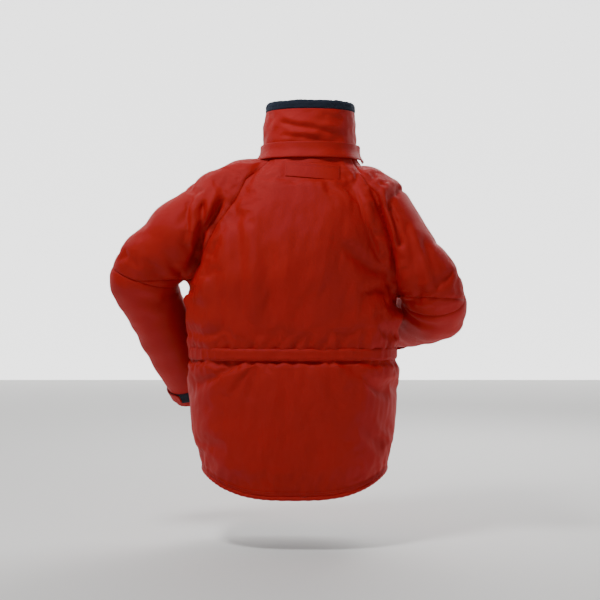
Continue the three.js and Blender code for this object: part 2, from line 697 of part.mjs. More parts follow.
const snapX = FLAP_INNER + SNAP_RADIUS + 2;
for (let i = 0; i < SNAP_COUNT; i++) {
  const z = mix(flapEnds[0] + 24, flapEnds[1] - 24, i / (SNAP_COUNT - 1));
  const capY = [flapY[0] - GAP - CAP_HEIGHT, flapY[0] - GAP];
  piece(`snap_cap_${i + 1}`, zipDisc(SNAP_RADIUS, capY, snapX, z), nickel);
  const stud = zipDisc(SNAP_RADIUS - 1.5, [GAP - FLAP_STANDOFF, REACH], snapX, z);
  piece(`snap_stud_${i + 1}`, seated(stud), nickel);
}

// ---------- pockets ----------
const flapHinge = POCKET_TOP + POCKET_FLAP_RISE;
const flapHem = POCKET_TOP - POCKET_FLAP_HANG;
const flapBack = POCKET_DEPTH + 2 * (GAP + HOOK_THICK) + GAP;
const hookEnds = [flapHem + 6, flapHem + 22];
const POCKET_STEPS = 14; // the flap lies close over its strips, so they share fine steps
for (const [side, sign] of [["left", 1], ["right", -1]]) {
  const [from, to] = across(sign, POCKET_NEAR, POCKET_FAR);
  const levels = [0, 0.3, 0.65, 1].map((share) => mix(POCKET_BOTTOM, POCKET_TOP, share));
  const pouch = slab(from, to, POCKET_STEPS, levels.map((z) => [z, -SUNK, POCKET_DEPTH]));
  const hollowLevels = [POCKET_BOTTOM + POCKET_WALL, ...levels.slice(1, 3), POCKET_TOP + 20];
  const hollow = slab(
    from + POCKET_WALL,
    to - POCKET_WALL,
    POCKET_STEPS,
    hollowLevels.map((z) => [z, GAP + POCKET_WALL, POCKET_DEPTH - POCKET_WALL]),
  );
  piece(`${side}_pocket`, seated(pouch.subtract(hollow)), shellCloth);

  const strip = (start, end, inner) =>
    slab(start, end, POCKET_STEPS, hookEnds.map((z) => [z, inner, inner + HOOK_THICK]));
  const inset = 8;
  const loopAt = POCKET_DEPTH + GAP;
  piece(`${side}_pocket_loop_strip`, strip(from + inset, to - inset, loopAt), hookTape);
  piece(`${side}_pocket_hook_strip`, strip(from + inset, to - inset, loopAt + HOOK_THICK + GAP), hookTape);

  const spare = POCKET_FLAP_SPARE;
  const flap = slab(from - spare, to + spare, POCKET_STEPS, [
    [flapHem, flapBack, flapBack + POCKET_FLAP_THICK],
    [POCKET_TOP, flapBack, flapBack + POCKET_FLAP_THICK],
    [flapHinge - 1.5, GAP, POCKET_FLAP_THICK + 3],
    [flapHinge, -SUNK, POCKET_FLAP_THICK],
  ]);
  piece(`${side}_pocket_flap`, seated(flap), shellCloth);
}

// ---------- waist drawcord ----------
const CHANNEL_FROM = -60; // angles of the channel's two ends, at the front
const CHANNEL_TO = 240;
const CHANNEL_STEPS = 30;
const CHANNEL_STEP = (CHANNEL_TO - CHANNEL_FROM) / CHANNEL_STEPS;
const CORD_TAIL = 8; // degrees of cord past each end
const channelHalf = CHANNEL_HEIGHT / 2;
const hollowHalf = channelHalf - CHANNEL_WALL;
const cordOffset = (GAP + CHANNEL_DEPTH) / 2;
const channelOutside = band(
  CHANNEL_FROM,
  CHANNEL_TO,
  CHANNEL_STEPS,
  [-channelHalf, 0, channelHalf].map((z) => [WAIST_Z + z, -SUNK, CHANNEL_DEPTH]),
);
const channelHollow = band(
  CHANNEL_FROM - CHANNEL_STEP,
  CHANNEL_TO + CHANNEL_STEP,
  CHANNEL_STEPS + 2,
  [-hollowHalf, 0, hollowHalf].map((z) => [WAIST_Z + z, GAP + CHANNEL_WALL, CHANNEL_DEPTH - CHANNEL_WALL]),
);
piece("waist_channel", seated(channelOutside.subtract(channelHollow)), shellCloth);

const cordAngles = [CHANNEL_FROM - CORD_TAIL];
for (let k = 0; k <= CHANNEL_STEPS; k++) cordAngles.push(CHANNEL_FROM + k * CHANNEL_STEP);
cordAngles.push(CHANNEL_TO + CORD_TAIL);
const drawcord = loft(
  cordAngles.map((angle) =>
    hexagon(CORD_RADIUS)
      .getPoints(1)
      .slice(0, 6)
      .map(({ x, y }) => bodyAround(angle, WAIST_Z + y, cordOffset + x)),
  ),
);
piece("waist_drawcord", drawcord, cordCloth);

const LOCK_BELOW = 8; // the lock's foot below the cord
const BUTTON_REST = 8; // the button's foot above the cord
const BUTTON_HEIGHT = 13;
const BORE_FLOOR = BUTTON_REST - BUTTON_TRAVEL - 0.5;
for (const [side, angle] of [["left", CHANNEL_FROM - 4.2], ["right", CHANNEL_TO + 4.2]]) {
  const foot = bodyAround(angle, WAIST_Z, 0);
  const out = bodyAround(angle, WAIST_Z, 1).sub(foot);
  const up = v3(0, 0, 1);
  const frame = new THREE.Matrix4().makeBasis(out.clone().cross(up), out, up).setPosition(foot);
  const upright = (radius, z0, z1) =>
    solidOf(
      new THREE.CylinderGeometry(radius, radius, z1 - z0, 12)
        .rotateX(Math.PI / 2)
        .translate(0, LOCK_DEPTH / 2 + GAP, (z0 + z1) / 2)
        .applyMatrix4(frame),
    );
  const lockTop = LOCK_HEIGHT - LOCK_BELOW + 4;
  const block = new THREE.BoxGeometry(LOCK_WIDTH, LOCK_DEPTH + SUNK, lockTop + LOCK_BELOW);
  block.translate(0, (LOCK_DEPTH - SUNK) / 2, (lockTop - LOCK_BELOW) / 2).applyMatrix4(frame);
  const cordBore = new THREE.CylinderGeometry(CORD_RADIUS + 0.6, CORD_RADIUS + 0.6, LOCK_WIDTH * 2, 10);
  cordBore.rotateZ(Math.PI / 2).translate(0, cordOffset, 0).applyMatrix4(frame);
  const lock = solidOf(block)
    .subtract(solidOf(cordBore))
    .subtract(upright(BUTTON_RADIUS + GAP, BORE_FLOOR, lockTop + 5));
  piece(`${side}_cord_lock`, seated(lock), zipPlastic);
  const button = upright(BUTTON_RADIUS, BUTTON_REST, BUTTON_REST + BUTTON_HEIGHT);
  piece(`${side}_cord_lock_button`, button, zipPlastic);
}

// ---------- hanger loop, inside the neck ----------
const loopSteps = 10;
const hangerAt = (t, offset) => {
  const x = NECK_SHIFT + mix(-HANGER_HALF, HANGER_HALF, t);
  const slack = HANGER_STANDOFF * Math.sin(Math.PI * t) ** 0.6;
  return (z) => bodyAcross(x, z, offset - slack, true);
};
const steps = Array.from({ length: loopSteps + 1 }, (_, i) => i / loopSteps);
const hangerFace = -fleeceWall - FLEECE - GAP - 0.6;
const hanger = loft(
  [6, 6 + HANGER_WIDTH].map((z) => [
    ...steps.map((t) => hangerAt(t, hangerFace)(z)),
    ...steps.toReversed().map((t) => hangerAt(t, hangerFace - HANGER_THICK)(z)),
  ]),
  "strip",
);
piece("hanger_loop", hanger, liningCloth);

// ---------- cuffs ----------
// A point of a forearm's skin: distance back from its end, degrees round it and height off it.
// 0 degrees is the side away from the body, and 90 is the side that faces backwards.
function cuffPoint(arm, back, degrees, offset) {
  const { path, radius } = arm;
  const { fore, across: hinge, reach } = armFrame(arm);
  const straight = path.elbow.distanceTo(path.cuff) - reach;
  const r = mix(radius.cuff, radius.fore, (2 * back) / straight);
  const outward = hinge.clone().cross(fore).normalize().negate();
  const side = fore.clone().cross(outward).normalize();
  if (side.y < 0) side.negate();
  const angle = THREE.MathUtils.degToRad(degrees);
  return path.cuff
    .clone()
    .addScaledVector(fore, -back)
    .addScaledVector(outward, Math.cos(angle) * (r + offset))
    .addScaledVector(side, Math.sin(angle) * (r * SLEEVE_FLATNESS + offset));
}

const roundCuff = (arm, back, offset) =>
  Array.from({ length: SLEEVE_SIDES }, (_, k) => cuffPoint(arm, back, (360 * k) / SLEEVE_SIDES, offset));

const TAB_START = -62;
const LOOP_FROM = 18;
const LOOP_TO = 84;
for (const [side, arm] of Object.entries(ARMS)) {
  const skin = sleeveSolid(arm, GAP, 0);
  const onSleeve = (solid) => largest(solid.subtract(skin));
  const wrap = (from, to, count, layers) => {
    const angles = Array.from({ length: count + 1 }, (_, i) => mix(from, to, i / count));
    return loft(
      [TAB_FROM, TAB_TO].map((back) => [
        ...angles.map((angle) => cuffPoint(arm, back, angle, layers(angle)[1])),
        ...angles.toReversed().map((angle) => cuffPoint(arm, back, angle, layers(angle)[0])),
      ]),
      "strip",
    );
  };
  const lift = (angle) => mix(GAP, HOOK_THICK + 3 * GAP, smooth((angle - TAB_START) / 30));
  const tab = wrap(TAB_START, TAB_START + TAB_ARC, 10, (angle) => [lift(angle), lift(angle) + TAB_THICK]);
  piece(`${side}_cuff_tab`, onSleeve(tab), shellCloth);
  const loopPatch = wrap(LOOP_FROM, LOOP_TO, 6, () => [-SUNK, GAP + HOOK_THICK]);
  piece(`${side}_cuff_loop_patch`, onSleeve(loopPatch), hookTape);

  const hoop = Array.from({ length: 6 }, (_, j) => {
    const turn = (Math.PI * j) / 3;
    const back = CUFF_ROLL * Math.sin(turn) - CUFF_ROLL - GAP;
    return roundCuff(arm, back, CUFF_ROLL * Math.cos(turn) - SHELL / 2);
  });
  piece(`${side}_cuff_binding`, loft(hoop, "joined"), bindingCloth);

  const narrowed = arm.radius.cuff - WRIST;
  const knitOutside = loft([
    roundCuff(arm, STORM_CUFF_LENGTH, -SHELL - GAP),
    roundCuff(arm, 5, STORM_CUFF_WALL - narrowed),
  ]);
  const knitInside = loft([
    roundCuff(arm, STORM_CUFF_LENGTH + 30, -SHELL - GAP - STORM_CUFF_WALL),
    roundCuff(arm, STORM_CUFF_LENGTH, -SHELL - GAP - STORM_CUFF_WALL),
    roundCuff(arm, 5, -narrowed),
    roundCuff(arm, -30, -narrowed),
  ]);
  piece(`${side}_storm_cuff`, largest(knitOutside.subtract(knitInside)), knit);
}

export default jacket;
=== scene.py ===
# %% [markdown]
# # A padded foul weather jacket
# The jacket is rebuilt over its CAD frame: the same body and sleeve sections, drawn finely, become
# one skin, which is creased, blown up a little as cloth, cut into its panels and made thick. The
# small pieces (collar, flaps, pockets, zip, cuffs) are laid on that skin by the same functions.

# %% Load the frame
import math

import bmesh
import bpy
import numpy as np
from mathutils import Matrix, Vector
from mathutils.bvhtree import BVHTree
from mathutils.kdtree import KDTree


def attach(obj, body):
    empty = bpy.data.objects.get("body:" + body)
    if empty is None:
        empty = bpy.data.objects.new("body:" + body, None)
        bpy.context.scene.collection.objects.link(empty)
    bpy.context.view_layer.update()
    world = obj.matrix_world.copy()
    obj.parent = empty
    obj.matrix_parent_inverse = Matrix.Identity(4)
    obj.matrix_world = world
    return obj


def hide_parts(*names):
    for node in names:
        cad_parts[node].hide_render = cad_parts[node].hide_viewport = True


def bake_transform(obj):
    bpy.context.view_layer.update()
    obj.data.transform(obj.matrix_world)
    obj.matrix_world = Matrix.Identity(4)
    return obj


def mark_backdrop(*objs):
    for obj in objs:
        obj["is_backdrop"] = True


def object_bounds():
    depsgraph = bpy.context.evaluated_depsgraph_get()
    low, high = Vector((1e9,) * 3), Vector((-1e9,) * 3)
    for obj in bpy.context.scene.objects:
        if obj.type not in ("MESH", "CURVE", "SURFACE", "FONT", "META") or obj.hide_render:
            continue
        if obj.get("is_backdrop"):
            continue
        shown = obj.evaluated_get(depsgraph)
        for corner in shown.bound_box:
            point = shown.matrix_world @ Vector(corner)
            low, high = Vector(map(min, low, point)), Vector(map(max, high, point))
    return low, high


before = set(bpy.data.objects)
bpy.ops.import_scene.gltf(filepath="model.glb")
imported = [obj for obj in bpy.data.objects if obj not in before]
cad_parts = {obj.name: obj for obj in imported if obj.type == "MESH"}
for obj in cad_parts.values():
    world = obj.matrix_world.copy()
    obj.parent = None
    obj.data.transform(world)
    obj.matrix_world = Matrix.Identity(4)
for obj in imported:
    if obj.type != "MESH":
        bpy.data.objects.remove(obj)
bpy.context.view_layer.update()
MM = 0.001
scene = bpy.context.scene

# %% [markdown]
# ## Camera, floor and light
# The camera stands behind the wearer, level, at the height of the jacket's middle. A long lens
# keeps the jacket's outline honest. The main light hangs close above the shoulders, so they are
# bright and the skirt of the jacket goes darker, and a weak one opens the shadows on one side.

# %% Camera
camera = bpy.data.objects.new("camera", bpy.data.cameras.new("camera"))
camera.location = (-0.0165, 3.0, -0.337)
camera.rotation_euler = (math.radians(90), 0, math.radians(180))
camera.data.sensor_width = 36
camera.data.lens = 76.6
scene.collection.objects.link(camera)
scene.camera = camera


# %% Colours and small node helpers
def linear(code):
    """A colour code such as c02018 as linear light, with full alpha."""
    values = [int(code[i : i + 2], 16) / 255 for i in (0, 2, 4)]
    return [v / 12.92 if v <= 0.04045 else ((v + 0.055) / 1.055) ** 2.4 for v in values] + [1.0]


def add_node(material, kind, links=None, **inputs):
    """A new node of that kind; inputs are set by name, and links join other nodes' outputs."""
    tree = material.node_tree
    node = tree.nodes.new(kind)
    for name, value in inputs.items():
        key = name.replace("_", " ")
        if key in node.inputs:
            node.inputs[key].default_value = value
        else:
            setattr(node, name, value)
    for name, output in (links or {}).items():
        tree.links.new(output, node.inputs[name])
    return node


def new_material(name, code, roughness, metallic=0.0, ior=1.5, sheen=0.0, sheen_tint="ffffff"):
    """A material with even values straight on its shader, and that shader."""
    material = bpy.data.materials.new(name)
    material.use_nodes = True
    shader = material.node_tree.nodes["Principled BSDF"]
    shader.inputs["Base Color"].default_value = linear(code)
    shader.inputs["Roughness"].default_value = roughness
    shader.inputs["Metallic"].default_value = metallic
    shader.inputs["IOR"].default_value = ior
    shader.inputs["Sheen Weight"].default_value = sheen
    shader.inputs["Sheen Roughness"].default_value = 0.4
    shader.inputs["Sheen Tint"].default_value = linear(sheen_tint)
    return material, shader


def relief(material, shader, height, distance):
    """Turns a height output into a bump on the shader."""
    bump = add_node(material, "ShaderNodeBump", {"Height": height}, Strength=1.0, Distance=distance)
    material.node_tree.links.new(bump.outputs["Normal"], shader.inputs["Normal"])


# %% Floor and lights
FLOOR_Z = -0.9


def stage_plane(name, corners, material):
    mesh = bpy.data.meshes.new(name)
    mesh.from_pydata(corners, [], [(0, 1, 2, 3)])
    mesh.materials.append(material)
    plane = bpy.data.objects.new(name, mesh)
    scene.collection.objects.link(plane)
    return plane


floor = stage_plane(
    "floor", [(-9, -9, FLOOR_Z), (9, -9, FLOOR_Z), (9, 9, FLOOR_Z), (-9, 9, FLOOR_Z)],
    new_material("pale studio floor", "e9e8e6", 0.9)[0],
)
glow, glow_shader = new_material("lit backdrop", "ffffff", 1.0)
glow_shader.inputs["Emission Color"].default_value = linear("ffffff")
glow_shader.inputs["Emission Strength"].default_value = 2.2
backdrop = stage_plane(
    "backdrop", [(-12, -6, FLOOR_Z), (12, -6, FLOOR_Z), (12, -6, 9), (-12, -6, 9)], glow
)
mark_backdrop(floor, backdrop)

world = bpy.data.worlds.new("studio")
world.use_nodes = True
world.node_tree.nodes["Background"].inputs["Color"].default_value = linear("f4f4f6")
world.node_tree.nodes["Background"].inputs["Strength"].default_value = 0.15
scene.world = world


def soft_light(name, place, towards, size, power):
    light = bpy.data.lights.new(name, "AREA")
    light.shape = "DISK"
    light.size = size
    light.energy = power
    lamp = bpy.data.objects.new(name, light)
    lamp.location = place
    lamp.rotation_euler = (Vector(towards) - Vector(place)).to_track_quat("-Z", "Y").to_euler()
    scene.collection.objects.link(lamp)
    lamp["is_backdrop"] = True


soft_light("key above the shoulders", (0.7, 0.85, 1.3), (0, 0, -0.15), 0.45, 27)
soft_light("side light", (-1.9, 1.6, 0.6), (0, 0, -0.4), 0.7, 6)
soft_light("front fill", (-0.9, -2.2, 1.3), (0, 0, -0.4), 1.6, 45)

# %% [markdown]
# ## Materials
# Outer cloth is woven nylon: a fine weave, a crinkle from the wadding behind it, and a sheen at
# grazing angles that makes it read as synthetic. The weave is drawn coarser than the real 0.3 mm,
# so that it stays visible. Its IOR is 1.38, under nylon's 1.53, because dull crossed threads scatter
# much of the gloss. Everything dark is navy: brushed fleece, taffeta, rib knit, hook tape.


# %% Woven cloth
def woven(name, code, weave, crinkle, roughness, sheen, sheen_tint):
    """Cloth whose threads cross at the weave's size, with a crinkle and a slow change of tone."""
    material, shader = new_material(name, code, roughness, 0.0, 1.38, sheen, sheen_tint)
    lay = add_node(material, "ShaderNodeTexCoord").outputs["UV"]
    bands = []
    for direction in ("X", "Y"):
        wave = add_node(material, "ShaderNodeTexWave", {"Vector": lay}, bands_direction=direction)
        wave.inputs["Scale"].default_value = 0.314 / (weave * MM)
        wave.inputs["Distortion"].default_value = 0.6
        bands.append(wave.outputs["Fac"])
    place = add_node(material, "ShaderNodeTexCoord").outputs["Object"]
    creases = add_node(material, "ShaderNodeTexNoise", {"Vector": place}, Scale=1 / (crinkle * MM))
    creases.inputs["Detail"].default_value = 4
    creases.inputs["Distortion"].default_value = 0.5
    both = add_node(material, "ShaderNodeMath", {0: bands[0], 1: bands[1]}, operation="ADD")
    fine = add_node(material, "ShaderNodeMath", {0: both.outputs[0]}, operation="MULTIPLY")
    fine.inputs[1].default_value = 0.16
    height = add_node(
        material, "ShaderNodeMath", {0: fine.outputs[0], 1: creases.outputs["Fac"]}, operation="ADD"
    )
    relief(material, shader, height.outputs[0], crinkle * MM * 0.07)
    cloudy = add_node(material, "ShaderNodeTexNoise", {"Vector": place}, Scale=9.0)
    low = add_node(material, "ShaderNodeMapRange", {"Value": cloudy.outputs["Fac"]})
    low.inputs["To Min"].default_value = 0.88
    low.inputs["To Max"].default_value = 1.12
    shade = add_node(material, "ShaderNodeHueSaturation", {"Value": low.outputs["Result"]})
    shade.inputs["Color"].default_value = linear(code)
    material.node_tree.links.new(shade.outputs["Color"], shader.inputs["Base Color"])
    return material


shell_cloth = woven("crinkled woven nylon", "a80400", 1.4, 11, 0.68, 0.12, "d83018")
binding_cloth = woven("folded nylon binding", "ac0500", 1.2, 9, 0.68, 0.12, "d83018")
lining_cloth = woven("navy taffeta lining", "16203a", 1.2, 16, 0.38, 0.2, "5a6a90")
tape_cloth = woven("woven zip tape", "10182b", 1.6, 30, 0.7, 0.1, "5a6a90")
thread = new_material("twisted polyester thread", "980600", 0.6)[0]
acetal = new_material("moulded acetal", "14161b", 0.35)[0]
nickel = new_material("dull nickel plate", "a9a7a2", 0.28, metallic=1.0, ior=2.0)[0]


# %% Pile, hook tape, knit and cord
def fuzzy(name, code, grain, sheen, roughness=0.95, depth=0.6):
    """A rough, light-catching surface of short fibres, each grain wide."""
    material, shader = new_material(name, code, roughness, 0.0, 1.5, sheen, "3a5070")
    place = add_node(material, "ShaderNodeTexCoord").outputs["Object"]
    grains = add_node(material, "ShaderNodeTexNoise", {"Vector": place}, Scale=1 / (grain * MM))
    grains.inputs["Detail"].default_value = 3
    relief(material, shader, grains.outputs["Fac"], grain * MM * depth)
    return material


fleece = fuzzy("brushed fleece pile", "0e1a2c", 2.2, 0.35, depth=1.2)
hook_tape = fuzzy("hook and loop tape", "0d1523", 1.2, 0.3)
knit = fuzzy("rib knit", "131d33", 1.5, 0.4)
braid = fuzzy("braided cord", "10131c", 0.9, 0.2, roughness=0.7)
print("materials", len(bpy.data.materials))

# %% [markdown]
# ## One skin for body and sleeves
# The body is a stack of rounded sections, and a sleeve is a tube along a bent path, with the same
# sizes as the frame. Drawn finely and rounded between the frame's corners, they give a smooth
# base for the cloth. All sizes below are in millimetres.

# %% The body's sections
BACK_LENGTH, WAIST_Z = 776, -460.1
HEM_FRONT, HEM_WARP, SHELL = -731, 150, 6
COLLAR_RED, COLLAR_TOP = 100, 121
SECTIONS = np.array([  # height, sideways shift, half width, depth of the back, squareness
    (-820, -4, 212, 157, 2.6), (-776, -4, 216, 158, 2.6), (-713, -4, 221, 160, 2.6),
    (-640, 0, 230, 158, 2.6), (-572, 0, 235, 154, 2.6), (-499, 0, 240, 148, 2.6),
    (-460, 0, 241, 144, 2.6), (-382, 3, 243, 149, 2.6), (-290, 6, 237, 154, 2.6),
    (-196, 0, 214, 150, 2.6), (-125, -8, 186, 139, 2.5), (-80, -18, 164, 127, 2.4),
    (-45, -28, 142, 113, 2.3), (-18, -36, 119, 100, 2.2), (0, -38, 109, 95, 2.3),
    (60, -40, 106, 93, 2.3), (121, -41, 103, 91, 2.3), (170, -41, 103, 91, 2.3),
], float)
heights = np.arange(-820, 171, 2.0)
columns = [np.interp(heights, SECTIONS[:, 0], SECTIONS[:, k]) for k in range(1, 5)]
bell = np.hanning(15) / np.hanning(15).sum()
columns = [np.convolve(np.pad(c, 7, mode="edge"), bell, mode="valid") for c in columns]


def power(value, exponent):
    return np.sign(value) * np.abs(value) ** exponent


def smooth(t):
    t = np.clip(t, 0, 1)
    return t * t * (3 - 2 * t)


def unit(v):
    return v / np.maximum(np.linalg.norm(v, axis=-1, keepdims=True), 1e-12)


def section(z):
    """Shift, half width, back depth, squareness and front depth of the body at a height."""
    shift, half, back, square = (np.interp(z, heights, c) for c in columns)
    return shift, half, back, square, 165 - 57 * (z - HEM_FRONT) / (COLLAR_TOP - HEM_FRONT)


def lift(c, z, is_back):
    """How far the hem's curve raises a point of the skirt, at share c of the half width."""
    centre = np.where(is_back, 0, 45)
    rise = centre + (54 - centre) * np.minimum(np.abs(c), 1.05) ** 3
    return rise * np.clip((HEM_WARP - BACK_LENGTH - z) / HEM_WARP, 0, 1)


def skin_point(z, c, s, offset, hem=True):
    shift, half, back, square, front = section(z)
    depth = np.where(s > 0, back, front)
    out = unit(np.stack([power(c, square - 1) / half, power(s, square - 1) / depth, 0 * c], -1))
    raised = z + (lift(c, z, s > 0) if hem else 0)
    return np.stack([shift + c * half, s * depth, raised], -1) + out * np.asarray(offset)[..., None]


def around(degrees, z, offset=0.0, hem=True):
    """A point of the body by angle: 0 is the wearer's left, 90 the middle of the back."""
    degrees, z, offset = np.broadcast_arrays(*(np.asarray(v, float) for v in (degrees, z, offset)))
    e = 2 / section(z)[3]
    c, s = np.cos(np.radians(degrees)), np.sin(np.radians(degrees))
    return skin_point(z, power(c, e), power(s, e), offset, hem)


def across(x, z, offset=0.0, is_back=False):
    """A point of the body by its sideways place, on the back or the front."""
    x, z, offset = np.broadcast_arrays(*(np.asarray(v, float) for v in (x, z, offset)))
    shift, half, _, square, _ = section(z)
    c = np.clip((x - shift) / half, -1, 1)
    s = (1 - np.abs(c) ** square) ** (1 / square)
    return skin_point(z, c, s if is_back else -s, offset)


# %% The sleeves
ELBOW_SPARE, ELBOW_BULGE, FLATNESS = 8, 13, 0.86


def point(*values):
    return np.array(values, float)


ARMS = {
    "left": {
        "path": [point(30, 5, -72), point(92, 6, -97), point(158, 8, -134)],
        "elbow": point(362, 20, -272), "cuff": point(242, -182, -562),
        "radii": [74, 100, 104], "elbow_r": 80, "fore_r": 67, "cuff_r": 58,
        "seam": [(-290, 236), (-164, 173), (-109, 130), (-63, 107), (-18, 57), (10, 40)],
        "fullness": (-42, 44, 11),
    },
    "right": {
        "path": [point(-95, 5, -70), point(-128, 6, -96), point(-168, 8, -139)],
        "elbow": point(-362, 62, -345), "cuff": point(-240, -255, -406),
        "radii": [66, 94, 108], "elbow_r": 82, "fore_r": 66, "cuff_r": 58,
        "seam": [(-330, -242), (-209, -223), (-98, -191), (-73, -173), (-18, -139), (10, -130)],
        "fullness": (-165, 75, 10),
    },
}
for arm in ARMS.values():
    arm["upper"] = unit(arm["elbow"] - arm["path"][2])
    arm["fore"] = unit(arm["cuff"] - arm["elbow"])
    arm["bend"] = math.acos(arm["upper"] @ arm["fore"])
    arm["inward"] = unit(arm["fore"] - arm["upper"] * (arm["fore"] @ arm["upper"]))
    arm["arc"] = arm["elbow_r"] + ELBOW_SPARE
    arm["reach"] = arm["arc"] * math.tan(arm["bend"] / 2)
    arm["pivot"] = arm["elbow"] - arm["upper"] * arm["reach"] + arm["inward"] * arm["arc"]
    arm["hinge"] = unit(np.cross(arm["upper"], arm["inward"]))
    arm["through"] = unit(arm["upper"] + arm["fore"])


def arc_station(arm, share):
    """Centre, direction, width and bulge of the sleeve at a share of the elbow's bend."""
    turn = arm["bend"] * share
    outward = -arm["inward"] * math.cos(turn) + arm["upper"] * math.sin(turn)
    along = arm["upper"] * math.cos(turn) + arm["inward"] * math.sin(turn)
    after = 0.4 * arm["elbow_r"] + 0.6 * arm["fore_r"]
    radius = arm["elbow_r"] + (after - arm["elbow_r"]) * share
    return arm["pivot"] + outward * arm["arc"], along, radius, ELBOW_BULGE * math.sin(math.pi * share)


def upper_stations(arm):
    """From the neck down to the elbow seam, and a little past it."""
    start = arm["elbow"] - arm["upper"] * arm["reach"]
    keys = [*arm["path"], (arm["path"][2] + start) / 2, start]
    radii = [*arm["radii"], 0.65 * arm["radii"][2] + 0.35 * arm["elbow_r"], arm["elbow_r"]]
    spots = np.arange(len(keys))
    fine = np.linspace(0, len(keys) - 1, 41)
    centres = np.stack([np.interp(fine, spots, [k[i] for k in keys]) for i in range(3)], -1)
    kernel = np.hanning(9) / np.hanning(9).sum()
    soft = [np.convolve(centres[:, i], kernel, mode="same") for i in range(3)]
    centres[4:-4] = np.stack(soft, -1)[4:-4]
    sizes = np.interp(fine, spots, radii)
    lines = unit(np.gradient(centres, axis=0))
    stations = [(centres[k], lines[k], sizes[k], 0.0) for k in range(40)]
    stations += [arc_station(arm, share) for share in np.linspace(0, 0.5, 10)]
    at, along, radius, bulge = stations[-1]
    return [*stations, (at + along * 14, along, radius, bulge)]


def fore_stations(arm):
    """From the elbow seam to the end of the sleeve."""
    stations = [arc_station(arm, share) for share in np.linspace(0.5, 1, 16)]
    at, along, radius, _ = stations[-1]
    for share in np.linspace(0, 1, 70)[1:]:
        r = np.interp(share, [0, 0.5, 1], [radius, arm["fore_r"], arm["cuff_r"]])
        stations.append((at + (arm["cuff"] - at) * share, arm["fore"], r, 0.0))
    return stations


def sleeve_rings(arm, stations, sides):
    turns = np.linspace(0, 2 * math.pi, sides, endpoint=False)[:, None]
    rings = []
    for at, along, radius, bulge in stations:
        outward = -unit(np.cross(arm["hinge"], along))
        side = unit(np.cross(along, outward))
        wide = radius + bulge * np.maximum(0, np.cos(turns))
        deep = radius * FLATNESS
        rings.append(at + outward * np.cos(turns) * wide + side * np.sin(turns) * deep)
    return np.array(rings)


# %% Meshes from rows of points
def grid_faces(rows, columns, closed=False, start=0):
    r, c = np.mgrid[0 : rows - 1, 0 : columns if closed else columns - 1]
    a, b = start + r * columns + c, start + r * columns + (c + 1) % columns
    return np.stack([a, b, b + columns, a + columns], -1).reshape(-1, 4).tolist()


def outward_faces(points, faces):
    """The same faces, turned so that the closed skin they form faces outwards."""
    volume = 0.0
    for f in faces:
        for k in range(1, len(f) - 1):
            volume += np.dot(points[f[0]], np.cross(points[f[k]], points[f[k + 1]]))
    return faces if volume > 0 else [f[::-1] for f in faces]


def mesh_object(name, points, faces, material, lay=None):
    """A smooth-shaded mesh; lay holds each point's place on the flat cloth, in millimetres."""
    mesh = bpy.data.meshes.new(name)
    mesh.from_pydata((np.asarray(points) * MM).tolist(), [], faces)
    mesh.materials.append(material)
    mesh.shade_smooth()
    if lay is not None:
        corners = np.zeros(len(mesh.loops), int)
        mesh.loops.foreach_get("vertex_index", corners)
        layer = mesh.uv_layers.new(name="cloth")
        layer.data.foreach_set("uv", (np.asarray(lay)[corners] * MM).ravel())
    obj = bpy.data.objects.new(name, mesh)
    scene.collection.objects.link(obj)
    return obj


def closed_tube(rings):
    """Points and faces of a tube over rings, closed by a fan at each end."""
    rows, sides = rings.shape[:2]
    points = np.vstack([rings.reshape(-1, 3), rings[0].mean(0), rings[-1].mean(0)])
    faces = grid_faces(rows, sides, closed=True)
    first, last = rows * sides, rows * sides + 1
    top = (rows - 1) * sides
    faces += [[first, (k + 1) % sides, k] for k in range(sides)]
    faces += [[last, top + k, top + (k + 1) % sides] for k in range(sides)]
    return points, outward_faces(points, faces)


def vertices_of(obj):
    points = np.zeros(len(obj.data.vertices) * 3)
    obj.data.vertices.foreach_get("co", points)
    return points.reshape(-1, 3) / MM


def normals_of(obj):
    normals = np.zeros(len(obj.data.vertices) * 3)
    obj.data.vertex_normals.foreach_get("vector", normals)
    return normals.reshape(-1, 3)


def move_vertices(obj, points):
    obj.data.vertices.foreach_set("co", (np.asarray(points) * MM).ravel())
    obj.data.update()


def applied(obj):
    """The object with its modifiers worked into its mesh."""
    bpy.context.view_layer.update()
    result = obj.evaluated_get(bpy.context.evaluated_depsgraph_get())
    mesh = bpy.data.meshes.new_from_object(result)
    obj.modifiers.clear()
    obj.data = mesh
    return obj


def relaxed(obj, rounds):
    """Moves each point towards the middle of its neighbours, which rounds off the voxel steps."""
    edges = np.zeros(len(obj.data.edges) * 2, int)
    obj.data.edges.foreach_get("vertices", edges)
    edges = edges.reshape(-1, 2)
    points = vertices_of(obj)
    count = np.bincount(edges.ravel(), minlength=len(points))[:, None]
    for step in range(rounds * 2):
        total = np.zeros_like(points)
        np.add.at(total, edges[:, 0], points[edges[:, 1]])
        np.add.at(total, edges[:, 1], points[edges[:, 0]])
        share = 0.5 if step % 2 == 0 else -0.52
        points = points + share * (total / np.maximum(count, 1) - points)
    move_vertices(obj, points)


# %% [markdown]
# ## Fusing body and sleeves
# A voxel remesh turns the overlapping body and sleeves into one even skin with a soft crease at
# each armpit, which no drawn seam would give. The neck, hem and elbows are then cut open.

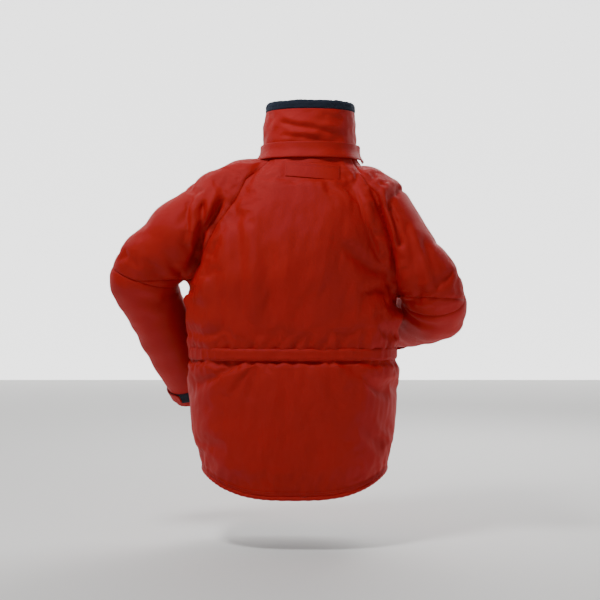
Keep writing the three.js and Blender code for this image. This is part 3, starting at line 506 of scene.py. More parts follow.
# %% Fuse and open
VOXEL = 7.5  # fine enough for a fold, coarse enough for the cloth simulation
ELBOW_REACH = 125  # everything of a sleeve's open end lies this close to its elbow
BESIDE_BODY = 1.04  # a little outside the body's outline, which is 1
body_rows = np.array([
    around(np.linspace(0, 360, 120, endpoint=False), z, hem=False) for z in np.arange(-815, 31, 7.0)
])
parts = [closed_tube(body_rows)]
parts += [closed_tube(sleeve_rings(arm, upper_stations(arm), 96)) for arm in ARMS.values()]
fused_points, fused_faces = [], []
for points, faces in parts:
    base = sum(len(p) for p in fused_points)
    fused_faces += [[base + i for i in f] for f in faces]
    fused_points.append(points)
skin = mesh_object("skin", np.vstack(fused_points), fused_faces, shell_cloth)
remesh = skin.modifiers.new("even", "REMESH")
remesh.mode = "VOXEL"
remesh.voxel_size = VOXEL * MM
applied(skin)
relaxed(skin, 3)

bm = bmesh.new()
bm.from_mesh(skin.data)


def from_body(points):
    """1 on the body's own outline, less inside it, and more beside it, where only a sleeve is."""
    x, y, z = np.asarray(points).T
    shift, half, back, square, front = section(z)
    return (np.abs(x - shift) / half) ** square + (np.abs(y) / np.where(y > 0, back, front)) ** square


def cut(normal, place, near=None):
    """Cuts the skin with a plane, in the sleeve's faces near a point, and drops its outer side."""
    faces = []
    for face in bm.faces:
        middle = face.calc_center_median()
        close = near is None or (middle - Vector(near[0] * MM)).length < near[1] * MM
        if close and (near is None or from_body(np.array(middle) / MM) > BESIDE_BODY):
            faces.append(face)
    geom = list({v for f in faces for v in f.verts} | {e for f in faces for e in f.edges}) + faces
    bmesh.ops.bisect_plane(
        bm, geom=geom, plane_co=Vector(place) * MM, plane_no=Vector(normal), dist=1e-6,
        clear_outer=True,
    )


cut((0, 0, 1), (0, 0, 0))
cut((0, 0, -1), (0, 0, -BACK_LENGTH))
for arm in ARMS.values():
    seat = arc_station(arm, 0.5)[0]
    cut(arm["through"], arm["pivot"], near=(seat, ELBOW_REACH))
bm.to_mesh(skin.data)
bm.free()
print("skin", len(skin.data.vertices), "points")

# %% [markdown]
# ## Creases
# The folds that give a worn jacket its life are drawn first, each as a line with a depth and a
# width: two deep ones from the shoulder to each armpit, the crease inside the elbows, soft upright
# folds down the back, and fans below the waist where the drawcord gathers the cloth. Small
# puckers run beside every gathered or sewn edge.

# %% Fold tools
def ripples(points, size, seed, waves=14):
    """A smooth, uneven field from -1 to 1, whose bumps have that size in each direction."""
    rng = np.random.default_rng(seed)
    directions = unit(rng.normal(size=(waves, 3)))
    phases = rng.uniform(0, 2 * math.pi, waves)
    pace = rng.uniform(0.7, 1.4, waves)
    angle = (points / np.asarray(size, float)) @ (directions * pace[:, None]).T * math.pi + phases
    return np.sin(angle).sum(1) / math.sqrt(waves) * 0.8


def ripples_over(u, v, size, seed):
    """Ripples on the grid of a flat piece."""
    return ripples(np.stack([u, v, 0 * u], -1).reshape(-1, 3), size, seed).reshape(u.shape)


def crease(points, line, width):
    """1 on a line of points, fading to 0 at that width, and towards the line's two ends."""
    line = np.asarray(line, float)
    best = np.full(len(points), 1e9)
    share = np.zeros(len(points))
    lengths = np.linalg.norm(np.diff(line, axis=0), axis=1)
    starts = np.concatenate([[0], np.cumsum(lengths)])
    for k, (a, b) in enumerate(zip(line, line[1:])):
        t = np.clip(((points - a) @ (b - a)) / ((b - a) @ (b - a)), 0, 1)
        distance = np.linalg.norm(points - a - t[:, None] * (b - a), axis=1)
        nearer = distance < best
        best = np.where(nearer, distance, best)
        share = np.where(nearer, (starts[k] + t * lengths[k]) / starts[-1], share)
    ends = np.clip(np.sin(math.pi * np.clip(share, 0.02, 0.98)) * 2.2, 0, 1)
    return np.exp(-((best / width) ** 2.0)) * ends


def seam_at(arm, z):
    """The raglan seam's sideways place at a height. Under the arm it runs off outwards."""
    seam = np.array(arm["seam"], float)
    under = np.maximum(0, seam[0, 0] - z) * 30
    return np.interp(z, seam[:, 0], seam[:, 1]) + np.sign(seam[0, 1]) * under


def on_back(y):
    return smooth((y - 24) / 50)


def on_trunk(x):
    """1 on the body, fading to 0 beyond it, where only the sleeves are."""
    return smooth((250 - np.abs(x)) / 12)


PATCH_X, PATCH_Z = -45, -44  # the middle of the patch on the back
PATCH_HALF_WIDTH, PATCH_HALF_HEIGHT = 62, 18


def over_patch(points):
    """1 at the patch's place, which stays flat, and 0 a little way outside it."""
    x, _, z = points.T
    return smooth((74 - np.abs(x - PATCH_X)) / 10) * smooth((30 - np.abs(z - PATCH_Z)) / 10)


# The sharp folds from shoulder to armpit, each as a line by width and height. The coarse skin
# takes the whole fold, and the refined skin takes the narrow valley at its bottom.
FOLD_DEPTH, FOLD_WIDTH = 11, 8
VALLEY_DEPTH, VALLEY_WIDTH = 5, 4.5
DEEP_FOLDS = [
    [(204, -104), (206, -150), (211, -206), (226, -266)],
    [(152, -98), (171, -132), (196, -172), (222, -226), (241, -280)],
    [(-172, -76), (-190, -110), (-212, -170), (-226, -232), (-232, -290)],
    [(-214, -110), (-234, -160), (-246, -226)],
]
# Each softer fold on the back: depth (a valley is negative), width, and its line.
BACK_FOLDS = [
    (7, 9, [(222, -110), (226, -164), (236, -220)]), (7, 8, [(188, -118), (192, -166), (204, -222)]),
    (7, 9, [(170, -92), (192, -132), (220, -184)]), (5, 10, [(132, -112), (162, -166), (198, -236)]),
    (6, 10, [(-150, -86), (-172, -140), (-196, -210), (-208, -280)]),
    (6, 9, [(-194, -80), (-222, -140), (-236, -210)]), (-4, 11, [(212, -70), (240, -120), (262, -180)]),
    (-5, 11, [(-250, -150), (-272, -240), (-292, -350)]), (5, 11, [(-270, -160), (-292, -240), (-310, -320)]),
    (-5, 11, [(-290, -190), (-312, -250), (-328, -320)]), (5, 12, [(-240, -250), (-258, -320)]),
    (-6, 16, [(138, -112), (122, -200), (112, -290), (104, -400)]),
    (3.5, 20, [(108, -120), (92, -260), (84, -400)]), (-3.5, 18, [(66, -150), (52, -280), (50, -410)]),
    (-3.5, 18, [(-92, -170), (-112, -280), (-120, -400)]), (3, 22, [(-60, -200), (-78, -400)]),
    (-4, 14, [(182, -250), (160, -320), (150, -420)]), (3, 18, [(206, -280), (190, -420)]),
    (-3, 16, [(-168, -300), (-158, -420)]), (3, 18, [(-196, -310), (-186, -430)]),
    (-5, 10, [(120, -478), (152, -500), (198, -530)]), (-4.5, 10, [(76, -482), (86, -520), (98, -568)]),
    (4, 12, [(98, -480), (118, -512), (152, -556)]), (-3.5, 11, [(20, -484), (16, -540), (22, -600)]),
    (-5, 10, [(-122, -482), (-152, -512), (-202, -552)]), (3.5, 13, [(-98, -482), (-122, -540)]),
    (-4, 11, [(-70, -484), (-84, -530), (-108, -590)]), (-3, 18, [(-40, -560), (-36, -640), (-60, -700)]),
    (-3, 20, [(130, -590), (140, -660), (120, -716)]), (2.5, 22, [(60, -600), (56, -700)]),
    (-3, 18, [(-160, -590), (-172, -660), (-150, -714)]),
]
FRONT_FOLDS = [
    (-6, 10, [(196, -110), (206, -170), (224, -240)]), (-6, 10, [(-196, -96), (-212, -180), (-226, -250)]),
    (4, 14, [(176, -120), (196, -210)]), (4, 14, [(-178, -110), (-198, -210)]),
    (-4, 16, [(120, -150), (112, -280), (120, -420)]), (-4, 16, [(-124, -150), (-128, -280), (-116, -420)]),
    (3, 20, [(80, -180), (84, -400)]), (3, 20, [(-92, -180), (-86, -400)]),
    (-4, 12, [(180, -300), (168, -420)]), (-4, 12, [(-178, -310), (-170, -420)]),
    (-4, 10, [(190, -486), (206, -560), (204, -640)]), (-4, 10, [(-190, -486), (-206, -560), (-204, -640)]),
]


def creased(points):
    """How far the folds and small puckers push each point of the skin out."""
    x, y, z = points.T
    flat = points[:, [0, 2]]
    push = np.zeros(len(points))
    back, front = on_back(y), 1 - smooth((y + 4) / 60)
    for line in DEEP_FOLDS:
        push -= FOLD_DEPTH * crease(flat, line, FOLD_WIDTH) * back
    for depth, width, line in BACK_FOLDS:
        push += depth * crease(flat, line, width) * back
    for depth, width, line in FRONT_FOLDS:
        push += depth * crease(flat, line, width) * front
    body = on_trunk(x)
    push += body * 1.6 * ripples(points, (34, 34, 130), 3) * smooth((z + 760) / 60)
    push += body * 0.8 * ripples(points, (16, 16, 46), 4)
    at_waist = np.exp(-(((z - WAIST_Z) / 34) ** 2)) * body
    push += at_waist * (2.6 * ripples(points, (11, 11, 90), 5) - 1.5)
    push -= at_waist * 3.6 * np.exp(-(((z - WAIST_Z + 19) / 7) ** 2))
    push += body * 4.5 * np.exp(-(((z - WAIST_Z - 26) / 18) ** 2))
    push += body * 4.0 * np.exp(-(((z - WAIST_Z + 46) / 26) ** 2)) * smooth(np.abs(x) / 240)
    push += 1.1 * ripples(points, (12, 12, 60), 6) * np.exp(-((lifted_from_hem(points) / 26) ** 2))
    push -= 2.0 * np.exp(-(((z + 306) / 36) ** 2)) * smooth((x - 200) / 26) * smooth((90 - np.abs(y)) / 40)
    sides = np.exp(-((y / 16) ** 2)) * smooth((-285 - z) / 20)
    push += sides * (1.6 * ripples(points, (60, 60, 13), 7) - 1.2)
    for side, arm in ARMS.items():
        push += sleeve_creases(points, arm, side)
        seam = np.exp(-(((x - seam_at(arm, z)) / 18) ** 2)) * smooth((-20 - z) / 40)
        push += seam * (1.3 * ripples(points, (40, 40, 14), 8) - 0.6)
    return push


def lifted_from_hem(points):
    x, y, z = points.T
    shift, half = section(z)[:2]
    return np.maximum(0, z + BACK_LENGTH - lift((x - shift) / half, z * 0 - BACK_LENGTH, y > 0))


def sleeve_creases(points, arm, side):
    """Folds of one sleeve: rings of cloth pushed together at the elbow, looser further off."""
    seed = 20 if side == "left" else 40
    from_pivot = points - arm["pivot"]
    before = from_pivot @ arm["upper"]
    after = from_pivot @ arm["fore"]
    outward = np.linalg.norm(points - arc_station(arm, 0.5)[0], axis=1)
    radial = from_pivot @ -arm["inward"]
    reach = smooth((np.sign(arm["elbow"][0]) * points[:, 0] - 215) / 50)
    turn = np.degrees(np.arctan2(from_pivot @ arm["upper"], np.maximum(radial, 1)))
    near = np.exp(-((outward / 130) ** 2)) * reach
    fan = np.sin(np.radians(turn) * 9 + 1.4 * ripples(points, (60, 60, 60), seed))
    inner = smooth(1.15 - radial / 150)
    push = near * inner * 3.2 * fan
    push += near * (0.4 + 1.2 * inner) * ripples(points, (24, 24, 20), seed + 1)
    along = smooth((after - 20) / 60) * reach
    push += along * 1.5 * ripples(np.stack([after, radial * 0.35, before * 0.35], -1), (34, 44, 44), seed + 2)
    push += reach * 0.7 * ripples(points, (26, 26, 60), seed + 3)
    # The wadding keeps the top of the sleeve full, from the shoulder to the elbow.
    full_at, full_over, amount = arm["fullness"]
    push += amount * np.exp(-(((before - full_at) / full_over) ** 2)) * smooth((radial - 70) / 80)
    return push


# %% [markdown]
# ## Filling the cloth
# A short cloth simulation with a little air behind the skin turns the drawn folds into cloth: the
# ridges round off, the valleys sharpen, and the panels swell between the seams that hold them.
# Seams, hem, neck and waist are pinned, and no point may go further than 8 mm.

# %% Crease, fill and refine
MOST_MOVED = 8.0  # the furthest that the cloth may go


def held(points):
    """1 where a sewn edge holds the cloth, down to 0 in the middle of a panel."""
    x, y, z = points.T
    near = np.exp(-((lifted_from_hem(points) / 14) ** 2))
    near = np.maximum(near, smooth((z + 26) / 14))
    near = np.maximum(near, np.exp(-(((z - WAIST_Z) / 15) ** 4)) * (np.abs(x) < 252))
    for arm in ARMS.values():
        seam = np.abs(x - seam_at(arm, z)) * 0.7
        near = np.maximum(near, np.exp(-((seam / 9) ** 2)))
        reach = np.abs((points - arm["pivot"]) @ arm["through"])
        near = np.maximum(near, smooth((22 - reach) / 10) * (np.sign(arm["elbow"][0]) * x > 250))
    front = y < -60
    near = np.maximum(near, smooth((64 - np.abs(x + 38 * (z + 731) / 852)) / 14) * front)
    pocket = smooth((170 - np.abs(x)) / 14) * smooth((np.abs(x) - 34) / 8) * smooth((-520 - z) / 12)
    near = np.maximum(near, pocket * front * 0.97)
    patch = smooth((72 - np.abs(x - PATCH_X)) / 10) * smooth((26 - np.abs(z - PATCH_Z)) / 8) * (y > 0)
    return np.maximum(near, patch)


points = vertices_of(skin)
rise = lift((points[:, 0] - section(points[:, 2])[0]) / section(points[:, 2])[1],
            points[:, 2], points[:, 1] > 0)
points[:, 2] += np.where(points[:, 2] < -600, rise, 0)
move_vertices(skin, points)
grip = held(points)
calm = 1 - np.maximum(smooth((points[:, 2] + 40) / 30), over_patch(points) * (points[:, 1] > 0))
move_vertices(skin, points + normals_of(skin) * (creased(points) * calm)[:, None])
relaxed(skin, 1)


def filled(obj, grip, pressure, frames=18):
    """Blows the skin up a little as cloth, holding it where grip is 1."""
    before = vertices_of(obj)
    pins = obj.vertex_groups.new(name="pins")
    for k in np.flatnonzero(grip > 0.02):
        pins.add([int(k)], float(min(1.0, grip[k])), "REPLACE")
    cloth = obj.modifiers.new("cloth", "CLOTH")
    settings = cloth.settings
    settings.quality = 5
    settings.mass = 0.25
    settings.tension_stiffness = settings.compression_stiffness = 18
    settings.shear_stiffness = 8
    settings.bending_stiffness = 0.4
    settings.vertex_group_mass = "pins"
    settings.pin_stiffness = 1
    settings.shrink_min = -0.035
    settings.use_pressure = True
    settings.uniform_pressure_force = pressure
    settings.effector_weights.gravity = 0
    cloth.collision_settings.use_collision = False
    cloth.point_cache.frame_start, cloth.point_cache.frame_end = 1, frames
    for number in range(1, frames + 1):
        scene.frame_set(number)
    applied(obj)
    scene.frame_set(1)
    moved = vertices_of(obj) - before
    far = np.linalg.norm(moved, axis=1, keepdims=True)
    print("cloth moved up to", round(float(far.max()), 1), "mm, mean", round(float(far.mean()), 2))
    move_vertices(obj, before + moved * np.minimum(1, MOST_MOVED / np.maximum(far, 1e-6)))


filled(skin, grip, 1.5)

# The sleeve meets the elbow seam on the same outline as the forearm, whatever the cloth did.
points = vertices_of(skin)
for arm in ARMS.values():
    wanted = closed_tube(sleeve_rings(arm, [arc_station(arm, s) for s in np.linspace(0, 1, 24)], 120))
    outline = BVHTree.FromPolygons(wanted[0].tolist(), wanted[1])
    reach = np.abs((points - arm["pivot"]) @ arm["through"])
    close = np.linalg.norm(points - arc_station(arm, 0.5)[0], axis=1) < ELBOW_REACH + 10
    pull = smooth((30 - reach) / 26) * smooth((from_body(points) - 1.03) / 0.08) * close
    for k in np.flatnonzero(pull > 0):
        found = outline.find_nearest(points[k])[0]
        points[k] += (np.array(found) - points[k]) * float(pull[k])
move_vertices(skin, points)
finer = skin.modifiers.new("finer", "SUBSURF")
finer.levels = finer.render_levels = 1
applied(skin)
print("refined skin", len(skin.data.vertices), "points")

# %% [markdown]
# ## Fine gathers
# Pleats narrower than the coarse skin's squares can only be drawn once it is refined: the sharp
# bottoms of the deep folds, the pleats above and below the drawcord, and the line over the hem.


# %% Fine gathers on the finer skin
def gathers(points):
    """What the coarse skin could not hold: sharp valleys, pleats at the waist, a line at the hem."""
    x, y, z = points.T
    flat, back = points[:, [0, 2]], on_back(y)
    push = np.zeros(len(points))
    for line in DEEP_FOLDS:
        push -= VALLEY_DEPTH * crease(flat, line, VALLEY_WIDTH) * back
    body = on_trunk(x) * np.maximum(back, smooth((np.abs(x) - 84) / 20))
    above = z - WAIST_Z
    leaning = np.stack([x + 0.7 * above * np.sign(above), y, 0.12 * above], -1)
    pleats = ripples(leaning, (8, 8, 8), 9) * np.exp(-(((np.abs(above) - 26) / 22) ** 2))
    push += body * 1.7 * pleats
    push += body * 0.5 * ripples(points, (9, 9, 30), 10) * smooth((z + 770) / 30)
    push -= 1.4 * np.exp(-(((lifted_from_hem(points) - 13) / 4) ** 2)) * back
    return push * smooth((-30 - z) / 20)


points = vertices_of(skin)
push = gathers(points) * (1 - over_patch(points))
move_vertices(skin, points + normals_of(skin) * push[:, None])

# %% [markdown]
# ## Cutting the panels
# The skin is cut along the real pattern's seams: a raglan seam from neck to armpit on each side,
# a seam down each side of the body, and the two edges of the zip. Every panel is then thickened
# inwards by the shell's 6 mm, with the normals of the whole skin, so that neighbours still meet.
# A shallow groove along each seam is where the sewing pulls the wadding flat.

# %% Cut the skin along its seams
ZIP_FOOT, ZIP_HEAD = point(0, -165, -731), point(-38, -108, 121)
zip_up = unit(ZIP_HEAD - ZIP_FOOT)
zip_across = unit(point(1, 0, 0) - zip_up * zip_up[0])
zip_in = np.cross(zip_up, zip_across)
zip_length = float(np.linalg.norm(ZIP_HEAD - ZIP_FOOT))
ZIP_HALF_GAP = 21

bm = bmesh.new()
bm.from_mesh(skin.data)


def slit(normal, place=(0, 0, 0)):
    geom = bm.verts[:] + bm.edges[:] + bm.faces[:]
    bmesh.ops.bisect_plane(
        bm, geom=geom, plane_co=Vector(place) * MM, plane_no=Vector(normal), dist=1e-6
    )


for arm in ARMS.values():
    for vertex in bm.verts:
        vertex.co.x -= float(seam_at(arm, vertex.co.z / MM)) * MM
    slit((1, 0, 0))
    for vertex in bm.verts:
        vertex.co.x += float(seam_at(arm, vertex.co.z / MM)) * MM
slit((0, 1, 0))
for sign in (1, -1):
    slit(zip_across, ZIP_FOOT + zip_across * ZIP_HALF_GAP * sign)
bm.to_mesh(skin.data)
bm.free()

points, normals = vertices_of(skin), normals_of(skin)
faces = [list(f.vertices) for f in skin.data.polygons]
middles = np.array([points[f].mean(0) for f in faces])
mx, my, mz = middles.T
on_left = mx > seam_at(ARMS["left"], mz)
on_right = mx < seam_at(ARMS["right"], mz)
from_zip = (middles - ZIP_FOOT) @ zip_across
on_body = ~on_left & ~on_right
PANELS = {
    "back": on_body & (my > 0),
    "left_front": on_body & (my < 0) & (from_zip > ZIP_HALF_GAP),
    "right_front": on_body & (my < 0) & (from_zip < -ZIP_HALF_GAP),
    "left_upper_sleeve": on_left,
    "right_upper_sleeve": on_right,
}

# %% Groove, thickness and the panels themselves
owner = np.full(len(faces), -1)
for number, mask in enumerate(PANELS.values()):
    owner[mask] = number
touched = [set() for _ in points]
for number, face in zip(owner, faces):
    for vertex in face:
        touched[vertex].add(int(number))
on_seam = np.array([len(t - {-1}) > 1 for t in touched])
seam_spots = points[on_seam]
tree = KDTree(len(seam_spots))
for k, spot in enumerate(seam_spots):
    tree.insert(spot, k)
tree.balance()
to_seam = np.array([tree.find(p)[2] for p in points])
grooved = points - normals * (2.2 * np.exp(-((to_seam / 3.2) ** 2)))[:, None]


def thickened(points, faces, normals, thickness):
    """A closed shell: the faces, their copy further in, and a wall round every open edge."""
    count = len(points)
    edges = {}
    for face in faces:
        for a, b in zip(face, face[1:] + face[:1]):
            edges[(a, b)] = True
    rims = [(a, b) for a, b in edges if (b, a) not in edges]
    inner = points - normals * thickness
    shell = faces + [[count + i for i in f[::-1]] for f in faces]
    shell += [[b, a, count + a, count + b] for a, b in rims]
    return np.vstack([points, inner]), shell


def sub_mesh(points, faces, mask):
    chosen = [f for f, keep in zip(faces, mask) if keep]
    used = sorted({v for f in chosen for v in f})
    renumber = {v: k for k, v in enumerate(used)}
    return np.array(used), [[renumber[v] for v in f] for f in chosen]


cloth_pieces = {}
for name, mask in PANELS.items():
    used, chosen = sub_mesh(grooved, faces, mask)
    shape, shell = thickened(grooved[used], chosen, normals[used], SHELL)
    if "sleeve" in name:
        arm = ARMS[name.split("_")[0]]
        run = shape - arm["path"][2]
        turn = np.arctan2(run @ arm["hinge"], -run @ arm["inward"])
        lay = np.stack([turn * 95, run @ arm["upper"]], -1)
    else:
        lay = np.stack([shape[:, 0], shape[:, 2]], -1)
    piece = mesh_object(f"{name}_cloth", shape, shell, shell_cloth, lay)
    cloth_pieces[name] = piece
    print(name, len(shape), "points")

# %% The forearm sleeves
FORE_SIDES = 120


def fore_skin(arm, side):
    """The creased outside of a forearm sleeve, its normals, and how many rows it has."""
    stations = fore_stations(arm)
    rings = sleeve_rings(arm, stations, FORE_SIDES)
    rows = rings.shape[0]
    flat_points = rings.reshape(-1, 3)
    centres = np.repeat(np.array([s[0] for s in stations]), FORE_SIDES, 0)
    normals = unit(flat_points - centres)
    end = stations[-1][0]
    from_seam = np.abs((flat_points - arm["pivot"]) @ arm["through"])
    from_cuff = (end - flat_points) @ arm["fore"]
    fade = smooth(from_seam / 26) * smooth((from_cuff - 40) / 34)
    push = sleeve_creases(flat_points, arm, side) * 1.35 * fade
    at_cuff = smooth(from_cuff / 6) * np.exp(-(((from_cuff - 12) / 14) ** 2))
    push += 0.6 * ripples(flat_points, (9, 9, 9), 60) * at_cuff
    push += smooth((from_cuff - 42) / 20) * 2.5 * fade
    from_pivot = flat_points - arm["pivot"]
    past, beside = from_pivot @ arm["fore"], from_pivot @ -arm["inward"]
    tucked = 3.5 if side == "left" else 0.0
    push -= tucked * np.exp(-(((past - 42) / 36) ** 2)) * smooth((70 - beside) / 50) * fade
    return flat_points + normals * push[:, None], normals, rows


for side, arm in ARMS.items():
    flat_points, fore_normals, rows = fore_skin(arm, side)
    faces_of_sleeve = grid_faces(rows, FORE_SIDES, closed=True)
    sample = faces_of_sleeve[5 * FORE_SIDES]
    a, b, c = (flat_points[i] for i in sample[:3])
    if np.cross(b - a, c - a) @ fore_normals[sample[0]] < 0:
        faces_of_sleeve = [f[::-1] for f in faces_of_sleeve]
    seam_near = np.abs((flat_points - arm["pivot"]) @ arm["through"])
    groove = 2.2 * np.exp(-((seam_near / 3.2) ** 2))
    shape, shell = thickened(
        flat_points - fore_normals * groove[:, None], faces_of_sleeve, fore_normals, SHELL
    )
    k = np.arange(len(shape)) % (rows * FORE_SIDES)
    lay = np.stack([k % FORE_SIDES * 3.4, k // FORE_SIDES * 4.0], -1)
    piece = mesh_object(f"{side}_forearm_cloth", shape, shell, shell_cloth, lay)
    cloth_pieces[f"{side}_forearm"] = piece
    print(f"{side}_forearm", len(shape), "points")

bpy.data.objects.remove(skin)
for side, arm in ARMS.items():
    seat = arc_station(arm, 0.5)[0]
    for name in (f"{side}_upper_sleeve", f"{side}_forearm"):
        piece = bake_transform(cloth_pieces[name])
    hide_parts(f"{side}_upper_sleeve")
    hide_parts(f"{side}_forearm_sleeve")
for name in ("back", "left_front", "right_front"):
    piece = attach(cloth_pieces[name], "torso")
    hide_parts(f"{name}_panel")

# %% [markdown]
# ## Flat pieces laid on the skin
# Flaps, pockets, tapes and tabs are slabs: a grid over the piece's own two directions, pushed off
# the skin by one height on its outside and another behind. Their heights fall away near the
# edges, as a turned and stitched edge does, so that no piece ends in a sharp box corner.


# %% Slabs, tubes and turned pieces
def edged(start, end, count, edge):
    """Even places from start to end, with closer ones near both ends."""
    edge = edge * np.sign(end - start)
    near = [0, 0.12 * edge, 0.4 * edge, edge]
    middle = np.linspace(start + edge, end - edge, count)
    return np.concatenate([start + np.array(near[:3]), middle, end - np.array(near[2::-1])])


def rounded(us, vs, edge_u, edge_v):
    """A share from 0 at the border to 1 inside, with a round shoulder of that width."""
    du = np.minimum(np.abs(us - us[0]), np.abs(us[-1] - us)) / edge_u
    dv = np.minimum(np.abs(vs - vs[0]), np.abs(vs[-1] - vs)) / edge_v
    inside = np.minimum(np.minimum(du[None, :], dv[:, None]), 1)
    return np.sqrt(np.clip(1 - (1 - inside) ** 2, 0, 1))


def slab(name, place, us, vs, low, high, material, body, nodes=(), scale=(1, 1)):
    """A closed piece between two heights over a place(u, v, height) function."""
    u, v = np.meshgrid(us, vs)
    low, high = np.broadcast_to(low, u.shape), np.broadcast_to(high, u.shape)
    top = place(u, v, high).reshape(-1, 3)
    bottom = place(u, v, low).reshape(-1, 3)
    rows, columns = u.shape
    top_faces = grid_faces(rows, columns)
    points, shell = np.vstack([top, bottom]), top_faces + [
        [rows * columns + i for i in f[::-1]] for f in top_faces
    ]
    border = [*range(columns), *range(2 * columns - 1, rows * columns, columns)]
    border += [*range(rows * columns - 2, (rows - 1) * columns - 1, -1)]
    border += [*range((rows - 2) * columns, 0, -columns)]
    for a, b in zip(border, border[1:] + border[:1]):
        shell.append([b, a, rows * columns + a, rows * columns + b])
    lay = np.tile(np.stack([u * scale[0], v * scale[1]], -1).reshape(-1, 2), (2, 1))
    piece = mesh_object(name, points, outward_faces(points, shell), material, lay)
    return settle(piece, body, nodes)


def settle(piece, body, nodes=()):
    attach(piece, body)
    if nodes:
        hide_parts(*nodes)
    return piece


def tube(name, line, radius, material, body, sides=12, closed=False, nodes=()):
    """A round run of cloth or cord along a line; radius may change along it."""
    line = np.asarray(line, float)
    count = len(line)
    radius = np.broadcast_to(radius, (count,))
    if closed:
        along = unit(np.roll(line, -1, 0) - np.roll(line, 1, 0))
    else:
        along = unit(np.gradient(line, axis=0))
    centre = line.mean(0)
    out = unit(line - centre - ((line - centre) * along).sum(-1, keepdims=True) * along)
    side = np.cross(along, out)
    turns = np.linspace(0, 2 * math.pi, sides, endpoint=False)
    rings = line[:, None] + out[:, None] * (np.cos(turns)[:, None] * radius[:, None, None])
    rings = rings + side[:, None] * (np.sin(turns)[:, None] * radius[:, None, None])
    if closed:
        points = rings.reshape(-1, 3)
        row, col = np.mgrid[0:count, 0:sides]
        nxt, right = (row + 1) % count, (col + 1) % sides
        corners = [row * sides + col, row * sides + right, nxt * sides + right, nxt * sides + col]
        faces = outward_faces(points, np.stack(corners, -1).reshape(-1, 4).tolist())
    else:
        points, faces = closed_tube(rings)
    run = np.repeat(np.concatenate([[0], np.cumsum(np.linalg.norm(np.diff(line, axis=0), axis=1))]), sides)
    around_it = np.tile(turns * radius.mean(), count)
    lay = np.stack([run, around_it], -1)
    lay = np.vstack([lay, np.zeros((len(points) - len(lay), 2))])
    return settle(mesh_object(name, points, faces, material, lay), body, nodes)


def turned(name, outline, base, axis, material, body, nodes=(), sides=28):
    """A round piece from an outline of (radius, height) about an axis standing on a base."""
    axis = unit(np.asarray(axis, float))
    first = unit(np.cross(axis, (0.3, 0.2, 0.9)))
    second = np.cross(axis, first)
    turns = np.linspace(0, 2 * math.pi, sides, endpoint=False)[:, None]
    rings = np.array([
        base + axis * h + first * np.cos(turns) * r + second * np.sin(turns) * r for r, h in outline
    ])
    points, faces = closed_tube(rings)
    return settle(mesh_object(name, points, faces, material), body, nodes)


def bevelled(name, node, material, body, width=0.3):
    """The frame's own piece with its edges rounded off, as moulded or plated parts have them."""
    piece = bpy.data.objects.new(name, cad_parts[node].data.copy())
    scene.collection.objects.link(piece)
    piece.data.materials.clear()
    piece.data.materials.append(material)
    bm = bmesh.new()
    bm.from_mesh(piece.data)
    bmesh.ops.remove_doubles(bm, verts=bm.verts, dist=1e-6)
    bmesh.ops.dissolve_limit(bm, angle_limit=0.05, verts=bm.verts, edges=bm.edges)
    sharp = [e for e in bm.edges if len(e.link_faces) == 2 and e.calc_face_angle(0) > 0.5]
    bmesh.ops.bevel(
        bm, geom=sharp, offset=width * MM, segments=2, affect="EDGES", profile=0.5, clamp_overlap=True
    )
    bm.to_mesh(piece.data)
    bm.free()
    piece.data.shade_smooth()
    piece.data.set_sharp_from_angle(angle=math.radians(40))
    return settle(piece, body, [node])


STITCH, STITCH_GAP, STITCH_RADIUS = 3.2, 1.3, 0.42


def stitches(name, runs):
    """Rows of stitches along lines of (points, outward normals), as one mesh of small loops."""
    all_points, all_faces, count = [], [], 0
    turns = np.linspace(0, 2 * math.pi, 5, endpoint=False)
    for line, outs in runs:
        steps = np.linalg.norm(np.diff(line, axis=0), axis=1)
        run = np.concatenate([[0], np.cumsum(steps)])
        starts = np.arange(1, run[-1] - STITCH, STITCH + STITCH_GAP)
        if len(starts) == 0:
            continue
        for share, rise, thin in ((0, -0.5, 0.5), (0.3, 0.25, 1), (0.7, 0.25, 1), (1, -0.5, 0.5)):
            at = starts + share * STITCH
            spot = np.stack([np.interp(at, run, line[:, k]) for k in range(3)], -1)
            ahead = np.stack([np.interp(at + 0.5, run, line[:, k]) for k in range(3)], -1)
            out = unit(np.stack([np.interp(at, run, outs[:, k]) for k in range(3)], -1))
            side = unit(np.cross(ahead - spot, out))
            ring = spot[:, None] + out[:, None] * (rise + np.sin(turns)[:, None] * STITCH_RADIUS * thin)
            ring = ring + side[:, None] * (np.cos(turns)[:, None] * STITCH_RADIUS * thin)
            all_points.append(ring)
        block = np.stack(all_points[-4:], 1)
        del all_points[-4:]
        for stitch in block:
            all_points.append(stitch.reshape(-1, 3))
            all_faces += grid_faces(4, 5, closed=True, start=count)
            all_faces += [[count + k for k in (0, 1, 2, 3, 4)][::-1], [count + 15 + k for k in range(5)]]
            count += 20
    points = np.vstack(all_points)
    return mesh_object(name, points, all_faces, thread)


def offset_run(place, us, vs, height):
    """A stitch line over a place function, with its outward normals."""
    us, vs = np.broadcast_arrays(np.asarray(us, float), np.asarray(vs, float))
    line = place(us, vs, np.broadcast_to(height, us.shape))
    return line, unit(place(us, vs, np.broadcast_to(height + 1.0, us.shape)) - line)


# %% [markdown]
# ## Collar, fleece and the flap round its foot
# The collar stands up in a padded tube that leans and pleats where it turns outwards. The fleece
# inside rolls over its top edge in a soft dark band. The flap at its foot covers where the hood
# is fastened, and its two ends stand off at the front.

# %% Collar
GAP = 0.3
COLLAR_WALL, FLEECE = 5, 5
COLLAR_FROM, COLLAR_TO = -90 + 11.2, 270 - 11.2


